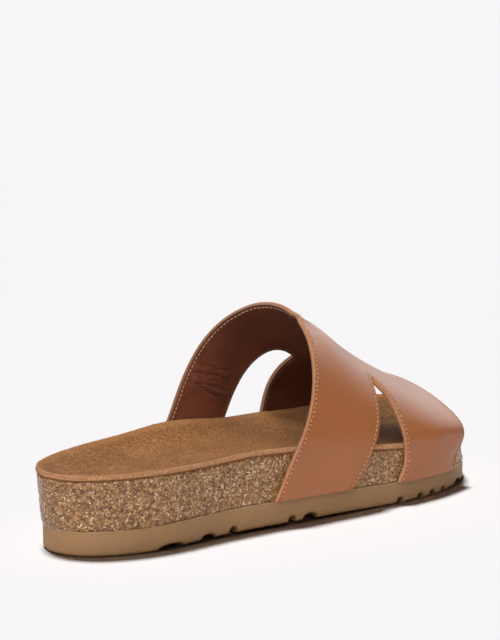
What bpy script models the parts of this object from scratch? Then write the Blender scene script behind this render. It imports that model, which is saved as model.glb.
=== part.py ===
"""Slide sandal for the right foot: rubber outsole, cork midsole, suede insole, H-shaped leather upper.

Sizes are millimetres, and meshes are made in metres. While the shoe is worked out, y runs from the heel (0)
to the toe, +x is the outer (lateral) side, and z is the height above the floor. At the end the shoe is moved
so that the origin is under the middle of its box.
"""
import bpy
import numpy as np

MM = 0.001
LENGTH = 254.0             # outsole, heel to toe
SEAT_GAP = 0.3             # clearance between glued pieces
STRAP_THICKNESS = 2.6      # leather and lining together
SUEDE_THICKNESS = 3.2
SUEDE_ROUND = 1.0          # rounding of the suede band at the rim
TREAD_ROUND = 1.6          # rounding of the outsole's bottom edge
ROUND_STEP = 0.3           # share of the rounding at its middle point
CUP_WALL = 20.0            # width over which the footbed dips from its rim
TIP_SHARE = 0.33           # a rounding is at most this share of the half-breadth, at the narrow tips
SLOPE_STEP = 1.0           # distance over which the outline's slope is taken
SHARP_EDGE = 40.0          # degrees
LATERAL, MEDIAL = 1, -1
FIRST_TURN = 0.07          # first and last section, as an angle from the heel and toe tips
SOLE_SECTIONS = 42
CLOSEST_SECTIONS = 2.0     # a section nearer than this to a groove's own is left out
CORK_OVERHANG = 0.3        # share of the rim's flare that the cork already has where it meets the tread

# How the strap stands: a line round the foot leans forward as it rises, and lies further forward at +x
STRAP_LEAN = 0.70
STRAP_SKEW = 0.30
RIM_SHARE = 0.30           # share of the way from the strap's foot to its crest that lies beside the sole
FIRST_X, FIRST_Z, SETTLE_ROUNDS = 40.0, 20.0, 25    # start and length of the search for a point on a wall
REAR_COLUMNS = 8
FRONT_COLUMNS = 8
WALL_ROWS = 5              # rows of points from the strap's foot to the rim
BRIDGE_ROWS = 6            # rows of points from where the straps join to the crest
JOIN_ROWS = 12             # rows of points between a rim and the point where the straps join
JOIN_CROWDING = 1.7        # power that crowds those rows towards the join

# Colour and roughness of each piece
FINISHES = {
    "outsole": ((0.30, 0.17, 0.075), 0.6),
    "midsole": ((0.28, 0.15, 0.065), 0.65),
    "insole": ((0.27, 0.135, 0.055), 0.9),
    "upper": ((0.35, 0.13, 0.045), 0.4),
}


def table(columns, rows):
    """A table's columns by name, each as an array."""
    return dict(zip(columns.split(), np.array(rows, dtype=float).T))


# Plan of the outsole
OUTLINE = table("y medial lateral", [
    (0.0, -1.0, -1.0),
    (8.0, -17.5, 16.5),
    (36.0, -29.5, 29.8),
    (75.0, -29.5, 33.8),
    (112.0, -29.0, 39.0),
    (150.0, -36.5, 43.6),
    (180.0, -43.5, 46.8),
    (205.0, -43.5, 46.0),
    (230.0, -37.0, 38.0),
    (247.0, -22.5, 21.0),
    (LENGTH, -2.0, -2.0),
])

# Heights along the sole: lift of the tread off the floor, tread thickness, rim height on each side, depth of
# the footbed below its rim, and how far the rim stands out past the tread
SOLE = table("y lift tread medial_rim lateral_rim dish flare", [
    (0.0, 0.0, 11.8, 38.0, 38.0, 9.0, 2.6),
    (30.0, 0.0, 11.8, 37.7, 38.3, 9.0, 2.4),
    (60.0, 0.8, 11.8, 39.3, 38.0, 8.2, 1.4),
    (95.0, 1.2, 11.6, 41.9, 38.5, 8.4, 0.2),
    (135.0, 0.8, 11.4, 36.9, 35.0, 6.2, 0.0),
    (165.0, 0.2, 11.0, 33.8, 31.1, 4.4, 0.0),
    (180.0, 0.0, 10.7, 31.8, 29.6, 3.6, 0.0),
    (205.0, 0.0, 10.2, 31.0, 28.7, 4.0, 0.0),
    (225.0, 0.5, 10.0, 33.0, 28.6, 5.5, -0.4),
    (243.0, 1.3, 9.8, 34.0, 29.6, 6.4, -2.6),
    (LENGTH, 2.0, 9.5, 32.6, 32.6, 5.0, -3.4),
])

# Grooves across the tread, which show as notches along its side
GROOVES = table("start end depth", [
    (36.0, 50.0, 1.8),
    (59.5, 68.5, 2.0),
    (75.3, 80.8, 3.0),
    (108.5, 114.0, 2.8),
    (117.0, 126.5, 2.7),
    (174.0, 179.5, 2.6),
    (188.0, 193.5, 2.2),
    (197.0, 202.5, 2.2),
    (206.5, 211.0, 2.0),
    (220.0, 230.0, 2.0),
])
GROOVE_STEPS = np.array([0.0, 0.18, 0.5, 0.82, 1.0])

# Ridge of the upper's outer face, at stations along the foot
CREST = table("station x z", [
    (60.0, -11.5, 110.0),
    (80.0, -10.0, 95.8),
    (98.0, -8.5, 87.3),
    (119.0, -7.0, 76.2),
    (134.0, -6.0, 68.6),
    (149.0, -5.5, 62.5),
    (163.0, -5.0, 57.3),
    (186.0, -4.0, 50.2),
    (205.0, -3.5, 42.9),
])

# Fullness of each side of the arch, at stations along the foot: how far it rises from the rim and runs level
# from the crest, before it turns, and how far it swells outward, as shares of its rise and width
FULLNESS = {
    LATERAL: table("station upright level swell", [
        (60.0, 0.42, 0.45, 0.0),
        (120.0, 0.42, 0.45, 0.0),
        (135.0, 0.42, 0.45, 0.0),
        (165.0, 0.32, 0.40, 0.0),
        (195.0, 0.22, 0.355, 0.0),
        (210.0, 0.20, 0.34, 0.0),
    ]),
    MEDIAL: table("station upright level swell", [
        (60.0, 0.62, 0.85, 0.11),
        (140.0, 0.62, 0.85, 0.11),
        (165.0, 0.62, 0.85, 0.11),
        (200.0, 0.46, 0.66, 0.05),
        (215.0, 0.44, 0.64, 0.05),
    ]),
}

# Outer edges of the upper, by the way round the foot: 0 lateral foot, 1 crest, 2 medial foot
OUTER_EDGES = table("way rear front", [
    (0.0, 78.2, 192.5),
    (RIM_SHARE, 73.8, 192.4),
    (0.55, 75.3, 190.9),
    (0.75, 78.0, 188.3),
    (0.9, 79.6, 184.8),
    (1.0, 80.0, 183.4),
    (1.15, 79.0, 184.6),
    (1.45, 74.6, 193.5),
    (2.0 - RIM_SHARE, 76.0, 200.5),
    (2.0, 78.0, 202.0),
])

# Edges of the two cut-outs, from the strap's foot up to the point where the straps join
LATERAL_CUT = table("way rear front", [
    (0.0, 122.0, 150.5),
    (0.15, 122.8, 148.0),
    (RIM_SHARE, 121.2, 141.5),
    (0.47, 120.5, 134.0),
    (0.595, 121.3, 129.8),
    (0.665, 122.5, 122.5),
])
MEDIAL_CUT = table("way rear front", [
    (0.0, 120.4, 162.0),
    (RIM_SHARE, 120.7, 159.0),
    (0.42, 120.3, 155.4),
    (0.55, 119.8, 149.9),
    (0.675, 121.0, 143.9),
    (0.75, 123.7, 140.3),
    (0.79, 128.4, 138.2),
    (0.803, 136.4, 136.4),
])


def through(stations, values, at):
    """Cubic curve through a column, each row's slope taken from the rows beside it."""
    slopes = np.gradient(values, stations)
    at = np.asarray(at, dtype=float)
    row = np.clip(np.searchsorted(stations, at) - 1, 0, len(stations) - 2)
    step = stations[row + 1] - stations[row]
    t = (at - stations[row]) / step
    rise = 3.0 * t**2 - 2.0 * t**3
    return (values[row] * (1.0 - rise) + values[row + 1] * rise
            + step * (t**3 - 2.0 * t**2 + t) * slopes[row]
            + step * (t**3 - t**2) * slopes[row + 1])


def turn(y):
    """Place along the sole as an angle, 0 at the heel and pi at the toe, which makes both ends round."""
    return np.arccos(np.clip(1.0 - 2.0 * np.asarray(y) / LENGTH, -1.0, 1.0))


def outline_x(y, side):
    """Half-breadth of the outsole at y, on one side."""
    column = OUTLINE["lateral" if side == LATERAL else "medial"]
    return through(turn(OUTLINE["y"]), column, turn(y))


def sole(column, y):
    """A height or size of the sole at y."""
    return through(SOLE["y"], SOLE[column], y)


def lift(y):
    """Height of the tread's underside: the heel and the ball of the foot are flat on the floor."""
    return np.maximum(sole("lift", y), 0.0)


def tread_top(y):
    """Height of the outsole's upper face at y."""
    return lift(y) + sole("tread", y)


def rim_height(y, side):
    """Height of the footbed's rim at y, on one side."""
    return sole("lateral_rim" if side == LATERAL else "medial_rim", y)


def rim_point(y, side, share=1.0):
    """Plan place of the footbed's wall over the outline at y: it stands out by a share of the flare."""
    angle = turn(y)
    flare = share * sole("flare", y)
    return outline_x(y, side) + side * flare * np.sin(angle), y - flare * np.cos(angle)


def groove_depth(y):
    """Depth of the tread's grooves at y: each groove is a half wave."""
    depth = np.zeros_like(y)
    for start, end, deepest in zip(GROOVES["start"], GROOVES["end"], GROOVES["depth"]):
        share = np.clip((y - start) / (end - start), 0.0, 1.0)
        depth = np.maximum(depth, deepest * np.sqrt(np.sin(np.pi * share)))
    return depth


def half_breadth(y):
    """Half the outsole's breadth at y."""
    return (outline_x(y, LATERAL) - outline_x(y, MEDIAL)) / 2.0


def rounding(y, size):
    """Size of a rounded edge at y, smaller at the narrow tips."""
    return np.minimum(size, TIP_SHARE * half_breadth(y))


def footbed_height(y, across):
    """Height of the suede at y, across running from -1 at the medial rim to 1 at the lateral rim."""
    to_end = np.minimum(y, LENGTH - y)
    reach = half_breadth(y) * (1.0 - np.exp(-to_end / half_breadth(y)))
    inward = np.clip((1.0 - np.abs(across)) * reach / CUP_WALL, 0.0, 1.0)
    share = (across + 1.0) / 2.0
    rim = rim_height(y, MEDIAL) * (1.0 - share) + rim_height(y, LATERAL) * share
    return rim - sole("dish", y) * (1.0 - (1.0 - inward) ** 2)


def sole_stations(with_grooves=False):
    """Places of the cross-sections, closer together at the round ends and at the grooves."""
    angles = np.linspace(FIRST_TURN, np.pi - FIRST_TURN, SOLE_SECTIONS)
    stations = LENGTH / 2.0 * (1.0 - np.cos(angles))
    if not with_grooves:
        return stations
    start, length = GROOVES["start"][:, None], (GROOVES["end"] - GROOVES["start"])[:, None]
    grooves = (start + length * GROOVE_STEPS).ravel()
    apart = np.abs(stations[:, None] - grooves).min(axis=1)
    return np.sort(np.concatenate([stations[apart > CLOSEST_SECTIONS], grooves]))


def material(piece):
    """Principled finish of one piece."""
    colour, roughness = FINISHES[piece]
    finish = bpy.data.materials.new(piece)
    finish.use_nodes = True
    shader = finish.node_tree.nodes["Principled BSDF"]
    shader.inputs["Base Color"].default_value = (*colour, 1.0)
    shader.inputs["Roughness"].default_value = roughness
    shader.inputs["Metallic"].default_value = 0.0
    return finish


def add_object(name, points, faces):
    """Named object from points in millimetres, smooth but for its sharp edges."""
    mesh = bpy.data.meshes.new(name)
    mesh.from_pydata((points * MM).tolist(), [], faces)
    mesh.materials.append(material(name))
    mesh.shade_smooth()
    mesh.set_sharp_from_angle(angle=np.radians(SHARP_EDGE))
    obj = bpy.data.objects.new(name, mesh)
    bpy.data.collections["slide_sandal"].objects.link(obj)
    return obj


def loft(name, rings):
    """Closed solid through rings of points: sections from heel to toe, each turning the same way."""
    sections, around = rings.shape[:2]
    faces = [tuple(range(around))]
    for section in range(sections - 1):
        for point in range(around):
            after = (point + 1) % around
            here, there = section * around, (section + 1) * around
            faces.append((here + point, there + point, there + after, here + after))
    faces.append(tuple(reversed(range((sections - 1) * around, sections * around))))
    return add_object(name, rings.reshape(-1, 3), faces)


def ring_points(parts):
    """Rings from a list of (x, y, z) columns, one for each point round a section."""
    columns = [np.stack(np.broadcast_arrays(*part), axis=-1) for part in parts]
    return np.stack(columns, axis=1)


def make_outsole():
    """Tread: a slab with the plan's outline, lifted at the waist and toe, its foot rounded, with grooves."""
    y = sole_stations(with_grooves=True)
    low = lift(y) + groove_depth(y)
    top = tread_top(y)
    medial, lateral = outline_x(y, MEDIAL), outline_x(y, LATERAL)
    tuck = rounding(y, TREAD_ROUND)
    middle = (medial + lateral) / 2.0
    parts = [
        (medial + tuck, y, low), (middle, y, low), (lateral - tuck, y, low),
        (lateral - ROUND_STEP * tuck, y, low + ROUND_STEP * TREAD_ROUND), (lateral, y, low + TREAD_ROUND),
        (lateral, y, top), (middle, y, top), (medial, y, top),
        (medial, y, low + TREAD_ROUND), (medial + ROUND_STEP * tuck, y, low + ROUND_STEP * TREAD_ROUND),
    ]
    return loft("outsole", ring_points(parts))


FOOTBED_ACROSS = np.array([-1.0, -0.9, -0.76, -0.58, -0.3, 0.0, 0.3, 0.58, 0.76, 0.9, 1.0])


def footbed_points(y, below):
    """Columns of points across the footbed, a depth below the suede's face."""
    medial_x, medial_y = rim_point(y, MEDIAL)
    lateral_x, lateral_y = rim_point(y, LATERAL)
    columns = []
    for across in FOOTBED_ACROSS:
        share = (across + 1.0) / 2.0
        x = medial_x * (1.0 - share) + lateral_x * share
        rim_y = medial_y * (1.0 - share) + lateral_y * share
        columns.append((x, rim_y, footbed_height(y, across) - below))
    return columns


def make_midsole():
    """Cork body: stands on the tread, its walls lean out to the rim, and its top is dished for the foot."""
    y = sole_stations()
    low = tread_top(y) + SEAT_GAP
    medial_x, wall_y = rim_point(y, MEDIAL, CORK_OVERHANG)
    lateral_x, _ = rim_point(y, LATERAL, CORK_OVERHANG)
    bottom = [(medial_x, wall_y, low), ((medial_x + lateral_x) / 2.0, wall_y, low), (lateral_x, wall_y, low)]
    top = footbed_points(y, SUEDE_THICKNESS + SEAT_GAP)
    return loft("midsole", ring_points(bottom + top[::-1]))


def make_insole():
    """Suede cover: a layer of even thickness on the cork, its edge rounded at the rim."""
    y = sole_stations()
    under = footbed_points(y, SUEDE_THICKNESS)
    top = footbed_points(y, 0.0)
    medial_band = (under[0][0], under[0][1], rim_height(y, MEDIAL) - SUEDE_ROUND)
    lateral_band = (under[-1][0], under[-1][1], rim_height(y, LATERAL) - SUEDE_ROUND)
    rounded = rounding(y, SUEDE_ROUND)
    top[0] = (top[0][0] + rounded, top[0][1], top[0][2])
    top[-1] = (top[-1][0] - rounded, top[-1][1], top[-1][2])
    parts = under + [lateral_band] + top[::-1] + [medial_band]
    return loft("insole", ring_points(parts))


def strap_half(station, way, side):
    """Points of the upper's outer face on one side of the foot.

    way runs from 0 at the strap's foot, beside the sole up to the rim at RIM_SHARE, then over a cubic arch
    to 1 at the crest. Each station's line leans and skews: y = station + lean z + skew x, settled in rounds.
    """
    def wall(height_at):
        x = np.full(station.shape, FIRST_X * side)
        z = np.full(station.shape, FIRST_Z)
        for _ in range(SETTLE_ROUNDS):
            y = station + STRAP_LEAN * z + STRAP_SKEW * x
            z = height_at(y)
            slope = (outline_x(y + SLOPE_STEP, side) - outline_x(y - SLOPE_STEP, side)) / (2.0 * SLOPE_STEP)
            stand_off = (SEAT_GAP + STRAP_THICKNESS) * np.sqrt(1.0 + slope**2)
            share = (z - tread_top(y)) / (rim_height(y, side) - tread_top(y))
            x = outline_x(y, side) + side * (stand_off + share * sole("flare", y))
        return x, z

    beside = np.clip(way / RIM_SHARE, 0.0, 1.0)
    low_x, low_z = wall(lambda y: (tread_top(y) + SEAT_GAP) * (1.0 - beside) + rim_height(y, side) * beside)
    rim_x, rim_z = wall(lambda y: rim_height(y, side))
    crest_x = through(CREST["station"], CREST["x"], station)
    crest_z = through(CREST["station"], CREST["z"], station)
    full = FULLNESS[side]
    upright, level, swell = (through(full["station"], full[name], station)
                             for name in ("upright", "level", "swell"))
    rise = crest_z - rim_z
    up_x, up_z = rim_x + side * swell * rise, rim_z + upright * rise
    out_x = crest_x + level * (rim_x - crest_x)
    t = np.clip((way - RIM_SHARE) / (1.0 - RIM_SHARE), 0.0, 1.0)
    b0, b1, b2, b3 = (1.0 - t) ** 3, 3.0 * (1.0 - t) ** 2 * t, 3.0 * (1.0 - t) * t**2, t**3
    x = np.where(way < RIM_SHARE, low_x, b0 * rim_x + b1 * up_x + b2 * out_x + b3 * crest_x)
    z = np.where(way < RIM_SHARE, low_z, b0 * rim_z + b1 * up_z + (b2 + b3) * crest_z)
    return np.stack([x, station + STRAP_LEAN * z + STRAP_SKEW * x, z], axis=-1)


def strap_point(station, way):
    """Points of the upper's outer face, way running from 0 at the lateral foot over 1 at the crest to 2."""
    lateral = strap_half(station, np.minimum(way, 1.0), LATERAL)
    medial = strap_half(station, np.minimum(2.0 - way, 1.0), MEDIAL)
    return np.where(way[..., None] <= 1.0, lateral, medial)


def strap_rows():
    """Ways round the foot of the upper's rows of points, with a row on each rim, join and crest."""
    lateral_join, medial_join = LATERAL_CUT["way"][-1], 2.0 - MEDIAL_CUT["way"][-1]
    medial_rim = 2.0 - RIM_SHARE
    crowded = np.linspace(0.0, 1.0, JOIN_ROWS) ** JOIN_CROWDING
    return np.concatenate([
        np.linspace(0.0, RIM_SHARE, WALL_ROWS)[:-1],
        (lateral_join + (RIM_SHARE - lateral_join) * crowded)[:0:-1],
        np.linspace(lateral_join, 1.0, BRIDGE_ROWS)[:-1],
        np.linspace(1.0, medial_join, BRIDGE_ROWS)[:-1],
        medial_join + (medial_rim - medial_join) * crowded,
        np.linspace(medial_rim, 2.0, WALL_ROWS)[1:],
    ])


def cut_edges(ways):
    """Stations of the rear strap's front edge and the front strap's rear edge, equal where they join."""
    lateral_join, medial_join = LATERAL_CUT["way"][-1], 2.0 - MEDIAL_CUT["way"][-1]
    edges = []
    for column in ("rear", "front"):
        lateral = through(LATERAL_CUT["way"], LATERAL_CUT[column], np.minimum(ways, lateral_join))
        medial = through(MEDIAL_CUT["way"], MEDIAL_CUT[column], np.minimum(2.0 - ways, 2.0 - medial_join))
        ends = (LATERAL_CUT[column][-1], MEDIAL_CUT[column][-1])
        bridge = np.interp(ways, (lateral_join, medial_join), ends)
        edges.append(np.where(ways < lateral_join, lateral, np.where(ways > medial_join, medial, bridge)))
    return edges


def make_upper():
    """H-shaped leather wall: two straps that share their points in the bridge, thickened inward."""
    ways = strap_rows()
    rear_end, front_start = cut_edges(ways)
    rear_start = through(OUTER_EDGES["way"], OUTER_EDGES["rear"], ways)
    front_end = through(OUTER_EDGES["way"], OUTER_EDGES["front"], ways)
    rear_share = np.linspace(0.0, 1.0, REAR_COLUMNS + 1)
    front_share = np.linspace(0.0, 1.0, FRONT_COLUMNS + 1)
    rear = rear_start[:, None] + (rear_end - rear_start)[:, None] * rear_share
    front = front_start[:, None] + (front_end - front_start)[:, None] * front_share
    stations = np.concatenate([rear, front], axis=1)
    points = strap_point(stations, np.broadcast_to(ways[:, None], stations.shape))
    rows, columns = stations.shape
    number = np.arange(rows * columns).reshape(rows, columns)
    joined = np.isclose(rear_end, front_start)
    number[joined, REAR_COLUMNS + 1] = number[joined, REAR_COLUMNS]
    strips = [column for column in range(columns - 1) if column != REAR_COLUMNS]
    faces = []
    for row in range(rows - 1):
        here, there = number[row], number[row + 1]
        faces += [(here[i], here[i + 1], there[i + 1], there[i]) for i in strips]
    used, packed = np.unique(np.array(faces), return_inverse=True)
    faces = packed.reshape(-1, 4).tolist()
    upper = add_object("upper", points.reshape(-1, 3)[used], faces)
    wall = upper.modifiers.new("wall", "SOLIDIFY")
    wall.thickness = STRAP_THICKNESS * MM
    wall.offset = -1.0
    wall.use_even_offset = True
    return upper


def centre_on_origin(pieces):
    """Parent the pieces to one empty, moved so that the origin lies under the middle of the shoe's box."""
    bpy.context.view_layer.update()
    graph = bpy.context.evaluated_depsgraph_get()
    corners = np.array([corner[:] for piece in pieces for corner in piece.evaluated_get(graph).bound_box])
    low, high = corners.min(axis=0), corners.max(axis=0)
    shoe = bpy.data.objects.new("shoe", None)
    bpy.data.collections["slide_sandal"].objects.link(shoe)
    for piece in pieces:
        piece.parent = shoe
    shoe.location = (-(low[0] + high[0]) / 2.0, -(low[1] + high[1]) / 2.0, -low[2])


def main():
    for obj in list(bpy.data.objects):
        bpy.data.objects.remove(obj)
    collection = bpy.data.collections.new("slide_sandal")
    bpy.context.scene.collection.children.link(collection)
    centre_on_origin([make_outsole(), make_midsole(), make_insole(), make_upper()])


main()
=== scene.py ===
"""Slide sandal: its leather, lining, thread, suede, cork and rubber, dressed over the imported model.

Laid out as a Blender add-on and run as a script. Shapes are worked out in millimetres in the shoe's own frame
(y from the heel to the toe, +x the outer side, z up from the floor) and put into the meshes in metres.
"""

import bmesh
import bpy
import numpy as np
from bpy.props import FloatProperty, FloatVectorProperty, PointerProperty
from mathutils import Matrix, Vector


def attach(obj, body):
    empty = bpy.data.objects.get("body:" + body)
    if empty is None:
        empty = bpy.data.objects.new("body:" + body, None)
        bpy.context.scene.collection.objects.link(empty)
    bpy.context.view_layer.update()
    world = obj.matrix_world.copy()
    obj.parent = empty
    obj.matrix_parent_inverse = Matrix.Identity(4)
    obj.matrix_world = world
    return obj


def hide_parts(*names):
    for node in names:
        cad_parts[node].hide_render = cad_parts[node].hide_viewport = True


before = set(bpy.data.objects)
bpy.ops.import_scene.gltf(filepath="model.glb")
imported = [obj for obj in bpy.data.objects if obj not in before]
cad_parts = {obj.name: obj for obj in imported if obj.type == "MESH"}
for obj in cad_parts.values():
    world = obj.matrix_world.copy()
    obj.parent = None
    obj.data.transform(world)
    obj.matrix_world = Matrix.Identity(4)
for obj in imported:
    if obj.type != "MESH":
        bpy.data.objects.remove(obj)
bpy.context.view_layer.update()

bl_info = {
    "name": "Slide Sandal",
    "version": (1, 0, 0),
    "blender": (4, 5, 0),
    "location": "View3D > Sidebar > Sandal",
    "description": "Builds a leather slide sandal with a suede footbed and a cork sole",
    "category": "Add Mesh",
}

MM = 0.001
TO_ROW = np.array([-1.39290, -125.70420, 0.0])  # the shoe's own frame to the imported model's frame
LATERAL, MEDIAL = 1, -1

LENGTH = 254.0  # outsole, heel to toe
SEAT_GAP = 0.3  # clearance between glued pieces
STRAP_THICKNESS = 2.6  # room kept between the sole's wall and the upper's outer face
SEWN_THICKNESS = 2.2  # leather and lining together
LAYER_GAP = 0.12  # between the leather and the lining
SUEDE_THICKNESS = 3.2
TREAD_ROUND = 1.6  # rounding of the outsole's bottom edge
CUP_WALL = 20.0  # width over which the footbed dips from its rim
CORK_OVERHANG = 0.3  # share of the rim's flare that the cork already has where it meets the tread
STRAP_LEAN = 0.70  # a line round the foot leans forward as it rises
STRAP_SKEW = 0.30  # and lies further forward at +x
RIM_SHARE = 0.30  # share of the way from the strap's foot to its crest that lies beside the sole
SETTLE_ROUNDS = 9  # rounds in which a point on a leaning line settles on the wall
BEND_REACH = 0.07  # way on each side of the rim over which the leather bends softly
BEND_WIDTH = 0.16  # and the way over which that reach fades
BEND_WEIGHTS = {-1.0: 1.0, -0.5: 4.0, 0.0: 6.0, 0.5: 4.0, 1.0: 1.0}  # sixteenths, by share of the reach
WALL_GUESS = (40.0, 20.0)  # x and z from which a point on the wall settles
EDGE_POINTS = 400  # points along a cut-out's edge before it is resampled
TIP_ROUND = 0.7  # distance over which the tip of a cut-out is rounded
CLOSED_GAP = 1.5  # where a cut-out is narrower, its edges lose their rounding
EDGE_ROUND = 0.3  # rounding of the leather's and the lining's edges
SHARP_ANGLE = 50.0  # edges that bend by more degrees stay sharp
PLAN_SPACING = 1.0  # between points round the plan
PLAN_SAMPLES, FLARE_SAMPLES = 2001, 1200  # for measuring half the plan, and for undoing the flare
SPINE_ENDS = (30.0, 216.0)  # the sole's middle line, along y
GROOVE_STEPS = np.array([-0.05, 0.1, 0.4, 0.9])  # points at a groove's edge


def table(columns, rows):
    """A table's columns by name, each as an array."""
    return dict(zip(columns.split(), np.array(rows, dtype=float).T))


OUTLINE = table("y medial lateral", [
    (0.0, -1.0, -1.0), (8.0, -17.5, 16.5), (36.0, -29.5, 29.8), (75.0, -29.5, 33.8), (112.0, -29.0, 39.0),
    (150.0, -36.5, 43.6), (180.0, -43.5, 46.8), (205.0, -43.5, 46.0), (230.0, -37.0, 38.0),
    (247.0, -22.5, 21.0), (LENGTH, -2.0, -2.0),
])
SOLE = table("y lift tread medial_rim lateral_rim dish flare", [
    (0.0, 0.0, 11.8, 38.0, 38.0, 9.0, 2.6),
    (30.0, 0.0, 11.8, 37.7, 38.3, 9.0, 2.4),
    (60.0, 0.8, 11.8, 39.3, 38.0, 8.2, 1.4),
    (95.0, 1.2, 11.6, 41.9, 38.5, 8.4, 0.2),
    (135.0, 0.8, 11.4, 36.9, 35.0, 6.2, 0.0),
    (165.0, 0.2, 11.0, 33.8, 31.1, 4.4, 0.0),
    (180.0, 0.0, 10.7, 31.8, 29.6, 3.6, 0.0),
    (205.0, 0.0, 10.2, 31.0, 28.7, 4.0, 0.0),
    (225.0, 0.5, 10.0, 33.0, 28.6, 5.5, -0.4),
    (243.0, 1.3, 9.8, 34.0, 29.6, 6.4, -2.6),
    (LENGTH, 2.0, 9.5, 32.6, 32.6, 5.0, -3.4),
])
GROOVES = table("start end depth", [
    (36.0, 50.0, 1.8), (59.5, 68.5, 2.0), (75.3, 80.8, 3.0), (108.5, 114.0, 2.8), (117.0, 126.5, 2.7),
    (174.0, 179.5, 2.6), (188.0, 193.5, 2.2), (197.0, 202.5, 2.2), (206.5, 211.0, 2.0), (220.0, 230.0, 2.0),
])
CREST = table("station x z", [
    (60.0, -11.5, 110.0), (80.0, -10.0, 95.8), (98.0, -8.5, 87.3), (119.0, -7.0, 76.2), (134.0, -6.0, 68.6),
    (149.0, -5.5, 62.5), (163.0, -5.0, 57.3), (186.0, -4.0, 50.2), (205.0, -3.5, 42.9),
])
FULLNESS = {
    LATERAL: table("station upright level swell", [
        (60.0, 0.42, 0.45, 0.0), (120.0, 0.42, 0.45, 0.0), (135.0, 0.42, 0.45, 0.0), (165.0, 0.32, 0.40, 0.0),
        (195.0, 0.22, 0.355, 0.0), (210.0, 0.20, 0.34, 0.0),
    ]),
    MEDIAL: table("station upright level swell", [
        (60.0, 0.62, 0.85, 0.11), (140.0, 0.62, 0.85, 0.11), (165.0, 0.62, 0.85, 0.11),
        (200.0, 0.46, 0.66, 0.05), (215.0, 0.44, 0.64, 0.05),
    ]),
}
OUTER_EDGES = table("way rear front", [
    (0.0, 78.2, 194.5), (RIM_SHARE, 73.8, 192.6), (0.55, 75.3, 190.9), (0.75, 78.0, 188.3),
    (0.9, 79.6, 184.8), (1.0, 80.0, 183.4), (1.15, 79.0, 184.6), (1.45, 74.6, 193.5),
    (2.0 - RIM_SHARE, 76.0, 200.5), (2.0, 78.0, 202.0),
])
LATERAL_CUT = table("way rear front", [
    (0.0, 122.0, 150.5), (0.15, 122.8, 148.0), (RIM_SHARE, 121.2, 141.5), (0.47, 120.5, 134.0),
    (0.595, 121.3, 129.8), (0.665, 122.5, 122.5),
])
MEDIAL_CUT = table("way rear front", [
    (0.0, 120.4, 162.0), (RIM_SHARE, 120.7, 159.0), (0.42, 120.3, 155.4), (0.55, 119.8, 149.9),
    (0.675, 121.0, 143.9), (0.72, 122.2, 141.7), (0.763, 124.8, 139.6), (0.785, 127.6, 138.4),
    (0.796, 130.6, 137.6), (0.8015, 134.0, 136.9), (0.803, 136.4, 136.4),
])
LINING_CREASES = table("station way to_station to_way height width", [
    (77.0, 1.575, 117.0, 1.640, 1.10, 0.60), (78.0, 1.577, 116.0, 1.584, 0.90, 0.55),
    (88.0, 1.575, 109.0, 1.524, 0.80, 0.55), (75.0, 1.542, 109.0, 1.530, 0.90, 0.60),
    (84.0, 1.531, 104.0, 1.489, 0.65, 0.55), (96.0, 1.609, 118.0, 1.615, 0.70, 0.55),
    (76.0, 1.508, 94.0, 1.500, 0.50, 0.55),
])
CREASE_START, CREASE_END = (0.0, 0.15), (0.8, 1.0)  # shares of a crease over which it fades in and out
CREASE_SWELL = 3.0  # breadth of the swell beside a crease, in widths of its trough
WAY_SPAN = 95.0  # length of one way over the foot's arch
LATERAL_JOIN, MEDIAL_JOIN = LATERAL_CUT["way"][-1], 2.0 - MEDIAL_CUT["way"][-1]


def linear(red, green, blue):
    """A colour's linear values from its 8-bit screen values: the usual screen curve undone."""
    share = np.array([red, green, blue]) / 255.0
    return tuple(np.where(share <= 0.04045, share / 12.92, ((share + 0.055) / 1.055) ** 2.4).tolist())


def colour(name, description, *screen):
    """A colour property with its default given in 8-bit screen values."""
    return FloatVectorProperty(name=name, description=description, subtype="COLOR", size=3, min=0.0, max=1.0,
                               default=linear(*screen))


def length(name, description, millimetres):
    """A length property with its default given in millimetres."""
    return FloatProperty(name=name, description=description, subtype="DISTANCE", unit="LENGTH", min=0.0,
                         precision=5, default=millimetres * MM)


def strength(name, description, value):
    """A light's strength as a property."""
    return FloatProperty(name=name, description=description, min=0.0, default=value)


def width(name, description, radians):
    """A light's angle as a property, with its default given in radians."""
    return FloatProperty(name=name, description=description, subtype="ANGLE", unit="ROTATION",
                         default=radians)


class UpperSettings(bpy.types.PropertyGroup):
    """Sizes and colours of the straps."""
    leather: colour("Leather", "Outside of the straps", 160, 97, 57)
    leather_edge: colour("Leather edge", "Cut edge of the leather", 192, 132, 90)
    lining: colour("Lining", "Inside of the straps", 121, 68, 47)
    lining_edge: colour("Lining edge", "Cut edge of the lining", 178, 142, 124)
    thread: colour("Thread", "Stitches on the outside", 202, 145, 102)
    lining_thread: colour("Lining thread", "Stitches on the inside", 178, 142, 108)
    leather_thickness: length("Leather thickness", "Thickness of the leather alone", 1.55)
    stitch_pitch: length("Stitch pitch", "Distance from one stitch to the next", 2.25)
    stitch_inset: length("Stitch inset", "Distance of the stitches from the cut edges", 1.55)
    stitch_length: length("Stitch length", "Length of one stitch on the outside", 1.45)


class SoleSettings(bpy.types.PropertyGroup):
    """Colours of the footbed, the cork and the tread."""
    suede: colour("Suede", "Footbed under the foot", 194, 137, 86)
    suede_dark: colour("Suede shade", "Darker patches of the footbed", 136, 90, 53)
    band: colour("Rim band", "Edge of the suede round the footbed", 198, 144, 103)
    cork_straw: colour("Cork straw", "Pale slivers of the cork", 174, 130, 80)
    cork_brown: colour("Cork brown", "Body of the cork", 128, 83, 45)
    cork_dark: colour("Cork gaps", "Dark gaps between the slivers", 62, 38, 24)
    cork_fleck: colour("Cork flecks", "Few whitish slivers", 214, 190, 152)
    rubber: colour("Rubber", "Tread", 153, 116, 78)
    glue: colour("Glue", "Thin line of glue between cork and tread", 172, 148, 122)


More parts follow.
